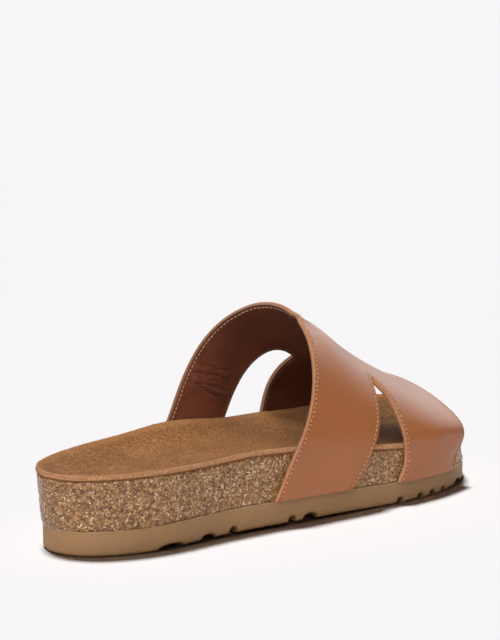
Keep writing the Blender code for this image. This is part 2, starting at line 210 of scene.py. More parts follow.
class StageSettings(bpy.types.PropertyGroup):
    """Floor, light and camera."""
    floor: colour("Floor", "Pale studio floor", 248, 246, 247)
    ambient: strength("Ambient", "Strength of the reflected light from all round", 0.15)
    backdrop: strength("Backdrop", "Strength of the white wall behind", 2.4)
    key: strength("Key", "Strength of the soft light from above", 1.2)
    key_spread: width("Key spread", "Angle that the light from above fills", 0.80)
    fill: strength("Fill", "Strength of the light from the camera's side", 2.6)
    fill_spread: width("Fill spread", "Angle that the light from the camera's side fills", 1.05)
    floor_light: strength("Floor light", "Strength of the light that whitens the floor", 3.18)
    floor_spread: width("Floor spread", "Angle that the floor's light fills", 0.17)
    lens: FloatProperty(name="Lens", description="Focal length of the camera", unit="CAMERA", default=130.03)


def through(stations, values, at):
    """Cubic curve through a column, each row's slope taken from the rows beside it."""
    slopes = np.gradient(values, stations)
    at = np.asarray(at, dtype=float)
    row = np.clip(np.searchsorted(stations, at) - 1, 0, len(stations) - 2)
    step = stations[row + 1] - stations[row]
    t = (at - stations[row]) / step
    rise = 3.0 * t**2 - 2.0 * t**3
    return (values[row] * (1.0 - rise) + values[row + 1] * rise
            + step * (t**3 - 2.0 * t**2 + t) * slopes[row]
            + step * (t**3 - t**2) * slopes[row + 1])


def read(rows, column, at):
    """A table's column at places along its first column."""
    return through(next(iter(rows.values())), rows[column], at)


def turn(y):
    """Place along the sole as an angle, 0 at the heel and pi at the toe: inverse cosine of 1 - 2y/length."""
    return np.arccos(np.clip(1.0 - 2.0 * np.asarray(y) / LENGTH, -1.0, 1.0))


def outline_x(y, side):
    """Half-breadth of the outsole at y, on one side: the plan's column, curved over the turn."""
    return through(turn(OUTLINE["y"]), OUTLINE["lateral" if side == LATERAL else "medial"], turn(y))


def sole(column, y):
    """A height or size of the sole at y."""
    return read(SOLE, column, y)


def lift(y):
    """Height of the tread's underside: flat on the floor at the heel and the ball."""
    return np.maximum(sole("lift", y), 0.0)


def tread_top(y):
    """Height of the outsole's upper face at y."""
    return lift(y) + sole("tread", y)


def rim_height(y, side):
    """Height of the footbed's rim at y, on one side."""
    return sole("lateral_rim" if side == LATERAL else "medial_rim", y)


def groove_depth(y):
    """Depth of the tread's grooves at y: each groove is the square root of a half wave."""
    share = (y[..., None] - GROOVES["start"]) / (GROOVES["end"] - GROOVES["start"])
    return (GROOVES["depth"] * np.sqrt(np.sin(np.pi * np.clip(share, 0.0, 1.0)))).max(axis=-1)


def half_breadth(y):
    """Half the outsole's breadth at y."""
    return (outline_x(y, LATERAL) - outline_x(y, MEDIAL)) / 2.0


def footbed_height(y, across):
    """Height of the suede at y, across running from -1 at the medial rim to 1 at the lateral rim.

    The rims are joined by a line, and the bed lies below it by the dish times 1 - (1 - inward) squared, where
    inward is the distance from the rim over the width of the cup's wall.
    """
    breadth = np.maximum(half_breadth(y), 0.01)
    reach = breadth * (1.0 - np.exp(-np.minimum(y, LENGTH - y) / breadth))
    inward = np.clip((1.0 - np.abs(across)) * reach / CUP_WALL, 0.0, 1.0)
    share = (across + 1.0) / 2.0
    rim = rim_height(y, MEDIAL) * (1.0 - share) + rim_height(y, LATERAL) * share
    return rim - sole("dish", y) * (1.0 - (1.0 - inward) ** 2)


def bump(value, centre, width):
    """Bell curve: 1 at the centre and falling off over the width on both sides."""
    return np.exp(-(((value - centre) / width) ** 2))


def smooth_step(value, low, high):
    """0 below low, 1 above high, and an even S curve between."""
    t = np.clip((value - low) / (high - low), 0.0, 1.0)
    return t * t * (3.0 - 2.0 * t)


def strap_half(station, way, side):
    """Points of the upper's outer face on one side of the foot.

    way runs from 0 at the strap's foot, beside the sole up to the rim at RIM_SHARE, then over a cubic arch
    to 1 at the crest. Each station's line leans and skews: y = station + lean z + skew x, settled in rounds.
    The bend at the rim is softened by a weighted mean of points a little lower and higher on the way.
    """
    def wall(height_at):
        x, z = np.full(station.shape, WALL_GUESS[0] * side), np.full(station.shape, WALL_GUESS[1])
        for _ in range(SETTLE_ROUNDS):
            y = station + STRAP_LEAN * z + STRAP_SKEW * x
            z = height_at(y)
            slope = (outline_x(y + 1.0, side) - outline_x(y - 1.0, side)) / 2.0
            stand_off = (SEAT_GAP + STRAP_THICKNESS) * np.sqrt(1.0 + slope**2)
            share = (z - tread_top(y)) / (rim_height(y, side) - tread_top(y))
            x = outline_x(y, side) + side * (stand_off + share * sole("flare", y))
        return x, z

    rim_x, rim_z = wall(lambda y: rim_height(y, side))
    crest_x, crest_z = (read(CREST, name, station) for name in ("x", "z"))
    upright, level, swell = (read(FULLNESS[side], name, station) for name in ("upright", "level", "swell"))
    rise = crest_z - rim_z
    up_x, up_z = rim_x + side * swell * rise, rim_z + upright * rise
    out_x = crest_x + level * (rim_x - crest_x)
    reach = BEND_REACH * bump(way, RIM_SHARE, BEND_WIDTH)
    x, z = np.zeros(station.shape), np.zeros(station.shape)
    for step, sixteenths in BEND_WEIGHTS.items():
        at = way + step * reach
        beside = np.clip(at / RIM_SHARE, 0.0, 1.0)
        low_x, low_z = wall(
            lambda y: (tread_top(y) + SEAT_GAP) * (1.0 - beside) + rim_height(y, side) * beside)
        t = np.clip((at - RIM_SHARE) / (1.0 - RIM_SHARE), 0.0, 1.0)
        b0, b1, b2, b3 = (1.0 - t) ** 3, 3.0 * (1.0 - t) ** 2 * t, 3.0 * (1.0 - t) * t**2, t**3
        arch_x = b0 * rim_x + b1 * up_x + b2 * out_x + b3 * crest_x
        arch_z = b0 * rim_z + b1 * up_z + (b2 + b3) * crest_z
        x += sixteenths / 16.0 * np.where(at < RIM_SHARE, low_x, arch_x)
        z += sixteenths / 16.0 * np.where(at < RIM_SHARE, low_z, arch_z)
    return np.stack([x, station + STRAP_LEAN * z + STRAP_SKEW * x, z], axis=-1)


def strap_point(station, way):
    """Points of the upper's outer face, way running from 0 at the lateral foot over 1 at the crest to 2."""
    lateral = strap_half(station, np.minimum(way, 1.0), LATERAL)
    medial = strap_half(station, np.minimum(2.0 - way, 1.0), MEDIAL)
    return np.where(way[..., None] <= 1.0, lateral, medial)


def unit(vectors):
    """Vectors divided by their lengths."""
    return vectors / np.maximum(np.linalg.norm(vectors, axis=-1, keepdims=True), 1e-12)


def strap_frame(station, way, half_step=0.5, half_way=0.006):
    """Point, direction per station, direction per way and outward normal of the upper's face.

    The directions are central differences, and the normal is their cross product.
    """
    low, high = np.maximum(way - half_way, 0.0), np.minimum(way + half_way, 2.0)
    ahead, behind = strap_point(station + half_step, way), strap_point(station - half_step, way)
    along = (ahead - behind) / (2.0 * half_step)
    over = (strap_point(station, high) - strap_point(station, low)) / (high - low)[..., None]
    return strap_point(station, way), along, over, unit(np.cross(along, over))


def outer_edges(ways):
    """Stations of the upper's rear and front edges."""
    return [read(OUTER_EDGES, name, ways) for name in ("rear", "front")]


def cut_edges(ways):
    """Stations of the rear strap's front edge and the front strap's rear edge, equal where they join."""
    edges = []
    for name in ("rear", "front"):
        lateral = read(LATERAL_CUT, name, np.minimum(ways, LATERAL_JOIN))
        medial = read(MEDIAL_CUT, name, np.minimum(2.0 - ways, 2.0 - MEDIAL_JOIN))
        bridge = np.interp(ways, (LATERAL_JOIN, MEDIAL_JOIN), (LATERAL_CUT[name][-1], MEDIAL_CUT[name][-1]))
        edges.append(np.where(ways < LATERAL_JOIN, lateral, np.where(ways > MEDIAL_JOIN, medial, bridge)))
    return edges


def evenly(stations, ways, spacing, soften=0.0):
    """A line on the upper's face, resampled at an even spacing in millimetres and softened over a distance.

    Softening is a running mean with a bell-shaped weight, which rounds the tip of a cut-out.
    """
    points = strap_point(stations, ways)
    gone = np.concatenate([[0.0], np.cumsum(np.linalg.norm(np.diff(points, axis=0), axis=1))])
    at = np.linspace(0.0, gone[-1], int(round(gone[-1] / spacing)) + 1)
    line = np.stack([np.interp(at, gone, stations), np.interp(at, gone, ways)])
    if soften > 0.0:
        reach = int(3.0 * soften / spacing)
        weight = np.exp(-0.5 * (np.arange(-reach, reach + 1) * spacing / soften) ** 2)
        padded = np.pad(line, ((0, 0), (reach, reach)), mode="edge")
        line = np.stack([np.convolve(row, weight / weight.sum(), mode="valid") for row in padded])
    return line


def sewn_edges(spacing=0.5):
    """The upper's four cut edges as lines on its face, each with the leather on its left from outside."""
    whole = np.linspace(0.0, 2.0, 2 * EDGE_POINTS + 1)
    rear, front = outer_edges(whole)
    found = [evenly(rear[::-1], whole[::-1], spacing), evenly(front, whole, spacing)]
    for foot, join, first in ((0.0, LATERAL_JOIN, 0), (2.0, MEDIAL_JOIN, 1)):
        ways = np.linspace(foot, join, EDGE_POINTS)
        edges = cut_edges(ways)
        stations = np.concatenate([edges[first], edges[1 - first][-2::-1]])
        found.append(evenly(stations, np.concatenate([ways, ways[-2::-1]]), spacing, TIP_ROUND))
    return found


def moved_in(line, inset):
    """A cut edge moved into the leather by a distance, along the cross product of normal and direction.

    The step is turned into stations and ways through the face's two directions (least squares).
    """
    point, along, over, normal = strap_frame(*line)
    step = np.cross(normal, unit(np.gradient(point, axis=0))) * inset
    aa, ab, bb = (along * along).sum(-1), (along * over).sum(-1), (over * over).sum(-1)
    sa, sb = (step * along).sum(-1), (step * over).sum(-1)
    spread = aa * bb - ab**2
    return np.stack([line[0] + (bb * sa - ab * sb) / spread, line[1] + (aa * sb - ab * sa) / spread])


def nearest(points, lines, block=4000):
    """Distance from each point to the closest of the points of several lines, worked out block by block."""
    targets = np.concatenate(lines)
    flat = points.reshape(-1, 3)
    found = [np.sqrt(((flat[i:i + block, None] - targets) ** 2).sum(-1).min(axis=1))
             for i in range(0, len(flat), block)]
    return np.concatenate(found).reshape(points.shape[:-1])


def add_piece(name, points, faces, materials, slot, corner_uv=None, values=None, sharp=None, replaces=None,
              painted=None):
    """A mesh piece from points in millimetres and faces, riding on the shoe's one body.

    Points that fall together are merged, which closes seams and poles. painted is each face's material.
    """
    mesh = bpy.data.meshes.new(name)
    mesh.from_pydata(((points.reshape(-1, 3) + TO_ROW) * MM).tolist(), [], np.asarray(faces).tolist())
    if not mesh.polygons:
        raise RuntimeError(f"{name} has no faces")
    for material in materials:
        mesh.materials.append(material)
    if painted is not None:
        mesh.polygons.foreach_set("material_index", painted.astype(np.int32))
    if corner_uv is not None:
        layer = mesh.uv_layers.new(name="surface")
        layer.data.foreach_set("uv", corner_uv.astype(np.float32).ravel())
    for label, numbers in (values or {}).items():
        attribute = mesh.attributes.new(label, "FLOAT", "POINT")
        attribute.data.foreach_set("value", numbers.astype(np.float32).ravel())
    work = bmesh.new()
    work.from_mesh(mesh)
    bmesh.ops.remove_doubles(work, verts=work.verts, dist=1e-6)
    bmesh.ops.dissolve_degenerate(work, edges=work.edges, dist=1e-7)
    work.to_mesh(mesh)
    work.free()
    mesh.shade_smooth()
    if sharp is not None:
        mesh.set_sharp_from_angle(angle=np.radians(sharp))
    obj = bpy.data.objects.new(name, mesh)
    bpy.context.scene.collection.objects.link(obj)
    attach(obj, "root")
    if replaces:
        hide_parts(replaces)


def ring_faces(rows, around):
    """Quads of a grid whose columns close round, facing out where rows rise on an anticlockwise loop."""
    row, here = np.arange(rows - 1)[:, None] * around, np.arange(around)
    after = (here + 1) % around
    corners = [row + here, row + after, row + around + after, row + around + here]
    return np.stack(corners, axis=-1).reshape(-1, 4)


def add_rings(name, rows, finish, slot, replaces, values=None, **extra):
    """A piece from rows of points that close round the plan, each value given as one number a row."""
    points = np.stack([np.stack(np.broadcast_arrays(*row), axis=-1) for row in rows])
    count, around = points.shape[:2]
    values = {label: np.repeat(numbers, around) for label, numbers in (values or {}).items()}
    add_piece(name, points, ring_faces(count, around), [finish], slot, values=values, replaces=replaces,
              **extra)


def plan_angles(spacing, with_grooves=False):
    """Angles of points round the plan, at an even spacing, with the same y on both sides of the foot.

    Half the plan is measured along its mean breadth, and the other half mirrors its angles.
    """
    fine = np.linspace(0.0, np.pi, PLAN_SAMPLES)
    y = LENGTH / 2.0 * (1.0 - np.cos(fine))
    gone = np.concatenate([[0.0], np.cumsum(np.hypot(np.diff(half_breadth(y)), np.diff(y)))])
    half = np.interp(np.linspace(0.0, gone[-1], int(gone[-1] / spacing)), gone, fine)
    if with_grooves:
        edges = [GROOVES["start"][:, None] + GROOVE_STEPS, GROOVES["end"][:, None] - GROOVE_STEPS]
        half = np.unique(np.round(np.concatenate([half, turn(np.ravel(edges))]), 5))
    return np.concatenate([half, 2.0 * np.pi - half[-2:0:-1]])


def round_plan(value, angles, y):
    """A value of the two sides taken round the plan: the lateral side to the toe, the medial side back."""
    return np.where(angles <= np.pi, value(y, LATERAL), value(y, MEDIAL))


def plan_loop(angles, share):
    """Plan points of the sole's wall: the outline, moved out along the turn by a share of the flare."""
    y = LENGTH / 2.0 * (1.0 - np.cos(angles))
    flare = share * sole("flare", y)
    return round_plan(outline_x, angles, y) + flare * np.sin(angles), y - flare * np.cos(angles), y


def spine(x, y):
    """Where lines drawn inward from the plan end: the middle of the sole, radial at the heel and the toe."""
    middle_y = np.clip(y, *SPINE_ENDS)
    return (outline_x(middle_y, LATERAL) + outline_x(middle_y, MEDIAL)) / 2.0, middle_y


def partway(x, y, end_x, end_y, share):
    """Plan points moved by a share of the way to their ends."""
    return x + (end_x - x) * share, y + (end_y - y) * share


def inset(x, y, end_x, end_y, distance):
    """Plan points moved inward towards the spine by a distance in millimetres."""
    reach = np.maximum(np.hypot(end_x - x, end_y - y), 1e-6)
    return partway(x, y, end_x, end_y, np.minimum(distance / reach, 1.0))


FLARED_Y = np.linspace(0.0, LENGTH, FLARE_SAMPLES)
FLARED_TO = FLARED_Y - sole("flare", FLARED_Y) * np.cos(turn(FLARED_Y))


def bed_height(x, y):
    """Height of the footbed over a plan point: the flare is undone to find its place between the two rims."""
    place = np.interp(y, FLARED_TO, FLARED_Y)
    flare = sole("flare", place) * np.sin(turn(place))
    low, high = outline_x(place, MEDIAL) - flare, outline_x(place, LATERAL) + flare
    across = np.clip((2.0 * x - low - high) / np.maximum(high - low, 0.01), -1.0, 1.0)
    return footbed_height(place, across)


def add_node(tree, kind, inputs=None, **settings):
    """A node with its settings, and its inputs set to values or linked to sockets."""
    item = tree.nodes.new(kind)
    for name, value in settings.items():
        setattr(item, name, value)
    for socket, value in (inputs or {}).items():
        if isinstance(value, bpy.types.NodeSocket):
            tree.links.new(value, item.inputs[socket])
        else:
            item.inputs[socket].default_value = value
    return item


def maths(tree, operation, first, second=0.0):
    """One sum of two numbers."""
    return add_node(tree, "ShaderNodeMath", {0: first, 1: second}, operation=operation).outputs[0]


def spread(tree, value, low, high, to_low=0.0, to_high=1.0):
    """A value carried from one range to another by an S curve."""
    inputs = {"Value": value, "From Min": low, "From Max": high, "To Min": to_low, "To Max": to_high}
    return add_node(tree, "ShaderNodeMapRange", inputs, interpolation_type="SMOOTHSTEP").outputs["Result"]


def mixed(tree, factor, first, second):
    """Two colours mixed by a factor; a colour is a socket or three numbers."""
    first, second = (end if isinstance(end, bpy.types.NodeSocket) else (*end, 1.0)
                     for end in (first, second))
    return add_node(tree, "ShaderNodeMix", {0: factor, 6: first, 7: second}, data_type="RGBA").outputs[2]


def weighed(tree, share, first, second):
    """Two numbers mixed by a share."""
    return add_node(tree, "ShaderNodeMix", {0: share, 2: first, 3: second}, data_type="FLOAT").outputs[0]


def ramp(tree, factor, stops):
    """Colours along a factor from stops of place and colour."""
    item = add_node(tree, "ShaderNodeValToRGB", {"Fac": factor})
    elements = item.color_ramp.elements
    while len(elements) < len(stops):
        elements.new(0.5)
    for element, (place, tint) in zip(elements, stops):
        element.position, element.color = place, (*tint, 1.0)
    return item.outputs["Color"]


def noise(tree, coordinates, scale, detail=3.0, roughness=0.55, distortion=0.0):
    """Noise over coordinates."""
    inputs = {"Vector": coordinates, "Scale": scale, "Detail": detail, "Roughness": roughness,
              "Distortion": distortion}
    return add_node(tree, "ShaderNodeTexNoise", inputs).outputs["Fac"]


def shade(tint, by):
    """A colour made darker or lighter."""
    return tuple(min(channel * by, 1.0) for channel in tint)


def placed_group(tree, name, output, values, build):
    """A shader node group placed in a material, its inputs set or linked; built when it is first placed."""
    group = bpy.data.node_groups.get(name)
    if group is None:
        group = bpy.data.node_groups.new(name, "ShaderNodeTree")
        for label in values:
            kind = "NodeSocketVector" if label == "Vector" else "NodeSocketFloat"
            group.interface.new_socket(label, in_out="INPUT", socket_type=kind)
        group.interface.new_socket(output, in_out="OUTPUT", socket_type="NodeSocketFloat")
        made = build(group, group.nodes.new("NodeGroupInput").outputs)
        group.links.new(made, group.nodes.new("NodeGroupOutput").inputs[output])
    return add_node(tree, "ShaderNodeGroup", values, node_tree=group).outputs[0]


def mottle(tree, place, broad, fine, fine_share):
    """Uneven colour: broad patches and fine specks of noise, weighed together."""
    def build(group, given):
        patches = noise(group, given["Vector"], given["Broad"], 4.0, 0.6, 0.4)
        specks = noise(group, given["Vector"], given["Fine"], 3.0, 0.65)
        return spread(group, weighed(group, given["Fine share"], patches, specks), 0.3, 0.7)

    values = {"Vector": place, "Broad": broad, "Fine": fine, "Fine share": fine_share}
    return placed_group(tree, "Mottle", "Mask", values, build)


def grain(tree, place, pebbles, swell, swell_share):
    """Fine relief: small pebbles of a cell pattern over a slow swell of noise."""
    def build(group, given):
        inputs = {"Vector": given["Vector"], "Scale": given["Pebbles"]}
        cells = add_node(group, "ShaderNodeTexVoronoi", inputs, feature="SMOOTH_F1")
        cells.inputs["Smoothness"].default_value = 0.6
        slow = noise(group, given["Vector"], given["Swell"], 2.0)
        return weighed(group, given["Swell share"], cells.outputs["Distance"], slow)

    values = {"Vector": place, "Pebbles": pebbles, "Swell": swell, "Swell share": swell_share}
    return placed_group(tree, "Grain", "Height", values, build)


def new_finish(name, roughness, **constants):
    """A material: its node tree, its Principled shader and its Object coordinates."""
    material = bpy.data.materials.new(name)
    material.use_nodes = True
    tree = material.node_tree
    shader = tree.nodes["Principled BSDF"]
    shader.inputs["Roughness"].default_value = roughness
    for label, value in constants.items():
        shader.inputs[label.replace("_", " ")].default_value = value
    return material, tree, shader, tree.nodes.new("ShaderNodeTexCoord").outputs["Object"]


def dress(tree, shader, tint, height, depth, distance):
    """Give a shader its colour, and its relief from a height, in metres at full height."""
    tree.links.new(tint, shader.inputs["Base Color"])
    item = add_node(tree, "ShaderNodeBump", {"Height": height, "Strength": depth, "Distance": distance})
    tree.links.new(item.outputs["Normal"], shader.inputs["Normal"])


def attribute(tree, name):
    """A number kept on the mesh's points."""
    return add_node(tree, "ShaderNodeAttribute", attribute_name=name).outputs["Fac"]


def leather_finish(settings):
    """Smooth semi-gloss leather: faint mottling, fine pores, a paler line along cut edges, and painted shade
    along the sewn channel at the stitches.
    """
    material, tree, shader, place = new_finish("smooth_leather", 0.34, Specular_IOR_Level=0.34,
                                               Coat_Weight=0.08, Coat_Roughness=0.16)
    base = tuple(settings.leather)
    patches = mottle(tree, place, 38.0, 900.0, 0.12)
    tint = mixed(tree, patches, shade(base, 0.95), shade(base, 1.03))
    edge = attribute(tree, "edge")
    tint = mixed(tree, spread(tree, edge, 0.1, 0.6, 0.4, 0.0), tint, tuple(settings.leather_edge))
    # painted shade: the leather is darkened along the sewn channel, in and between the stitch holes, where
    # shade falls
    beside = maths(tree, "ABSOLUTE", maths(tree, "SUBTRACT", edge, settings.stitch_inset / MM))
    tint = mixed(tree, spread(tree, beside, 0.2, 0.65, 0.55, 0.0), tint, shade(base, 0.5))
    tree.links.new(spread(tree, patches, 0.0, 1.0, 0.325, 0.345), shader.inputs["Roughness"])
    dress(tree, shader, tint, grain(tree, place, 1500.0, 160.0, 0.6), 0.05, 0.0005)
    return material


def edge_finish(name, tint, roughness):
    """Cut edge: fibres of slightly different shades running with the edge, with painted shade over the crest
    and the medial side, where less light reaches it.
    """
    material, tree, shader, place = new_finish(name, roughness)
    patches = mottle(tree, place, 220.0, 1800.0, 0.5)
    fibres = mixed(tree, patches, shade(tint, 0.78), shade(tint, 1.12))
    # painted shade: the edge darkens from the crest over the medial side
    inner = spread(tree, attribute(tree, "way"), 0.7, 1.1, 0.0, 0.75)
    dress(tree, shader, mixed(tree, inner, fibres, shade(tint, 0.42)), patches, 0.25, 0.0003)
    return material


def lining_finish(settings):
    """Dark lining leather: matt, softly mottled, with a fine grain; painted shade darkens its crease troughs
    and most of the straps' inside, which gets little light.
    """
    material, tree, shader, place = new_finish("lining_leather", 0.62, Specular_IOR_Level=0.15)
    base = tuple(settings.lining)
    patches = mottle(tree, place, 60.0, 700.0, 0.4)
    tint = mixed(tree, patches, shade(base, 0.72), shade(base, 1.2))
    # painted shade over the inside of the straps, lifted where the light from the camera's side reaches the
    # lining
    tint = mixed(tree, maths(tree, "MULTIPLY", attribute(tree, "inner_shade"), 0.62), tint, shade(base, 0.38))
    # painted shade in the troughs of the creases
    tint = mixed(tree, spread(tree, attribute(tree, "crease"), 0.2, 1.0, 0.0, 0.45), tint, shade(base, 0.3))
    dress(tree, shader, tint, grain(tree, place, 1100.0, 220.0, 0.5), 0.45, 0.0008)
    return material


def thread_finish(name, tint):
    """Waxed thread: a fine speckle, slightly glossy, darker where its own attribute is low: random soiling
    from stitch to stitch, and painted shade on the lining's stitches round the cut-outs.
    """
    material, tree, shader, place = new_finish(name, 0.5)
    specks = noise(tree, place, 2600.0, 2.0)
    fibres = mixed(tree, spread(tree, specks, 0.35, 0.65), shade(tint, 0.75), shade(tint, 1.1))
    # random soiling and painted shade, both carried by one attribute
    tint = mixed(tree, attribute(tree, "tone_and_shade"), shade(tint, 0.16), fibres)
    dress(tree, shader, tint, specks, 0.4, 0.0003)
    return material


def suede_finish(settings):
    """Brown suede: mottled nap with dark specks and a soft sheen, a smoother pale band at the rim, and a
    painted dark line of shade under the band.
    """
    material, tree, shader, place = new_finish("brown_suede", 0.92, Specular_IOR_Level=0.2,
                                               Sheen_Weight=0.25, Sheen_Roughness=0.6)
    base, dark, band = tuple(settings.suede), tuple(settings.suede_dark), tuple(settings.band)
    shader.inputs["Sheen Tint"].default_value = (*shade(base, 1.5), 1.0)
    patches = mottle(tree, place, 80.0, 520.0, 0.55)
    nap = noise(tree, place, 1050.0, 4.0, 0.8)
    tint = mixed(tree, patches, dark, base)
    tint = mixed(tree, spread(tree, nap, 0.42, 0.53), shade(dark, 0.72), tint)
    tint = mixed(tree, spread(tree, nap, 0.55, 0.72, 0.0, 0.5), tint, shade(base, 1.3))
    band_share = attribute(tree, "band")
    tint = mixed(tree, spread(tree, band_share, 0.0, 0.3, 0.0, 0.35), tint, shade(base, 1.25))
    on_band = spread(tree, band_share, 0.4, 0.9)
    fibres = add_node(tree, "ShaderNodeMapping", {"Vector": place, "Scale": (120.0, 120.0, 3200.0)})
    lines = noise(tree, fibres.outputs["Vector"], 1.0, 2.0)
    rim = mixed(tree, spread(tree, lines, 0.3, 0.7), shade(band, 0.72), shade(band, 1.1))
    fuzz = noise(tree, place, 1500.0, 3.0, 0.8)
    rim = mixed(tree, spread(tree, fuzz, 0.40, 0.51, 0.75, 0.0), rim, shade(band, 0.5))
    rim = mixed(tree, spread(tree, fuzz, 0.51, 0.62, 0.0, 0.6), rim, shade(band, 1.45))
    # painted shade: a dark line under the band, where it overhangs the cork
    rim = mixed(tree, spread(tree, band_share, 1.2, 1.9), rim, shade(dark, 0.8))
    tree.links.new(spread(tree, on_band, 0.0, 1.0, 0.95, 0.82), shader.inputs["Roughness"])
    height = maths(tree, "ADD", nap, maths(tree, "MULTIPLY", patches, 0.6))
    dress(tree, shader, mixed(tree, on_band, tint, rim), height, 0.7, 0.0011)
    return material


CORK_LAYERS = table("angle along across shown", [
    (0.35, 330.0, 1060.0, 0.5), (1.30, 500.0, 1200.0, 0.55), (2.15, 370.0, 1110.0, 0.55),
    (2.75, 540.0, 1380.0, 0.55), (0.95, 680.0, 1550.0, 0.6),
])


def cork_cells(tree, vector, scale):
    """Flat cell pattern: the distances inside its cells, and three random values of each cell."""
    inputs = {"Vector": vector, "Scale": scale}
    cells = add_node(tree, "ShaderNodeTexVoronoi", inputs, voronoi_dimensions="2D")
    random = add_node(tree, "ShaderNodeSeparateColor", {0: cells.outputs["Color"]}).outputs
    return cells.outputs["Distance"], random


def cork_finish(settings):
    """Pressed cork: slivers in many directions over brown crumb, with dark gaps and a few whitish flecks.

    Each layer is a cell pattern stretched along its own direction on the wall's own map. A cell shows as a
    sliver where its random value is high, inside its border, and takes its shade from another random value.
    """
    material, tree, shader, _ = new_finish("pressed_cork", 0.6, Specular_IOR_Level=0.35, Coat_Weight=0.5,
                                           Coat_Roughness=0.22)
    straw, brown = tuple(settings.cork_straw), tuple(settings.cork_brown)
    dark, fleck = tuple(settings.cork_dark), tuple(settings.cork_fleck)
    surface = add_node(tree, "ShaderNodeUVMap", uv_map="surface").outputs["UV"]
    distance, random = cork_cells(tree, surface, 1150.0)
    tint = ramp(tree, random[0],
                [(0.0, dark), (0.3, shade(brown, 0.6)), (0.6, brown), (1.0, shade(brown, 1.35))])
    height = maths(tree, "MULTIPLY", distance, -0.4)
    wander = maths(tree, "MULTIPLY", noise(tree, surface, 260.0, 2.0), 1.6)
    shades = [(0.0, shade(brown, 0.45)), (0.25, brown), (0.5, shade(straw, 0.75)), (0.85, shade(straw, 1.15)),
              (0.97, fleck)]
    for layer, (angle, along, across, shown) in enumerate(zip(*CORK_LAYERS.values())):
        turned = add_node(tree, "ShaderNodeMapping", {"Vector": surface, "Rotation": (0.0, 0.0, angle),
                                                      "Location": (0.37 * layer, 0.61 * layer, 0.0)})
        vector = turned.outputs["Vector"]
        for operation, by in (("MULTIPLY", (along, across, 1.0)), ("ADD", wander)):
            inputs = {0: vector, 1: by}
            vector = add_node(tree, "ShaderNodeVectorMath", inputs, operation=operation).outputs["Vector"]
        distance, random = cork_cells(tree, vector, 1.0)
        mask = maths(tree, "MULTIPLY", maths(tree, "GREATER_THAN", random[0], shown),
                     spread(tree, distance, 0.34, 0.5, 1.0, 0.0))
        tint = mixed(tree, mask, tint, ramp(tree, random[1], shades))
        raised = maths(tree, "MULTIPLY", mask, maths(tree, "ADD", random[2], 0.25))
        height = maths(tree, "MAXIMUM", height, raised)
    dress(tree, shader, tint, height, 0.5, 0.0004)
    return material


def rubber_finish(settings):
    """Matt brown rubber: faint clouds and specks, scuffed along the floor edge, glue along the top edge."""
    material, tree, shader, place = new_finish("brown_rubber", 0.62, Specular_IOR_Level=0.4)
    base = tuple(settings.rubber)

    def worn(name, scale, high):
        """Noise on the part of the tread that an attribute marks."""
        patchy = spread(tree, noise(tree, place, scale), 0.45, high)
        return maths(tree, "MULTIPLY", attribute(tree, name), patchy)

    tint = mixed(tree, mottle(tree, place, 30.0, 800.0, 0.35), shade(base, 0.9), shade(base, 1.08))
    scuffs = maths(tree, "MULTIPLY", worn("floor_edge", 240.0, 0.7), 0.5)
    tint = mixed(tree, scuffs, tint, shade(base, 0.6))
    smear = worn("seam", 190.0, 0.66)
    tint = mixed(tree, smear, tint, tuple(settings.glue))
    tree.links.new(spread(tree, smear, 0.0, 1.0, 0.62, 0.3), shader.inputs["Roughness"])
    dress(tree, shader, tint, grain(tree, place, 1300.0, 300.0, 0.5), 0.12, 0.0005)
    return material


STRAP_COLUMNS = 46  # of points across each strap
FOOT_ROWS, CUT_ROWS, TIP_ROWS, BRIDGE_ROWS = 18, 46, 90, (26, 18)  # of points along the way
CUT_CROWDING, TIP_CROWDING = 1.7, 1.5  # powers that draw rows towards the ends of the cut-outs


def upper_rows():
    """Ways of the upper's rows of points, closer together where the straps join."""
    medial_rim = 2.0 - RIM_SHARE
    crowded = np.linspace(0.0, 1.0, CUT_ROWS) ** CUT_CROWDING
    finer = np.linspace(0.0, 1.0, TIP_ROWS) ** TIP_CROWDING
    return np.concatenate([
        np.linspace(0.0, RIM_SHARE, FOOT_ROWS)[:-1],
        (LATERAL_JOIN + (RIM_SHARE - LATERAL_JOIN) * crowded)[:0:-1],
        np.linspace(LATERAL_JOIN, 1.0, BRIDGE_ROWS[0])[:-1],
        np.linspace(1.0, MEDIAL_JOIN, BRIDGE_ROWS[1])[:-1],
        MEDIAL_JOIN + (medial_rim - MEDIAL_JOIN) * finer,
        np.linspace(medial_rim, 2.0, FOOT_ROWS)[1:],
    ])


_UPPER = {}  # the upper's grid, once it is worked out


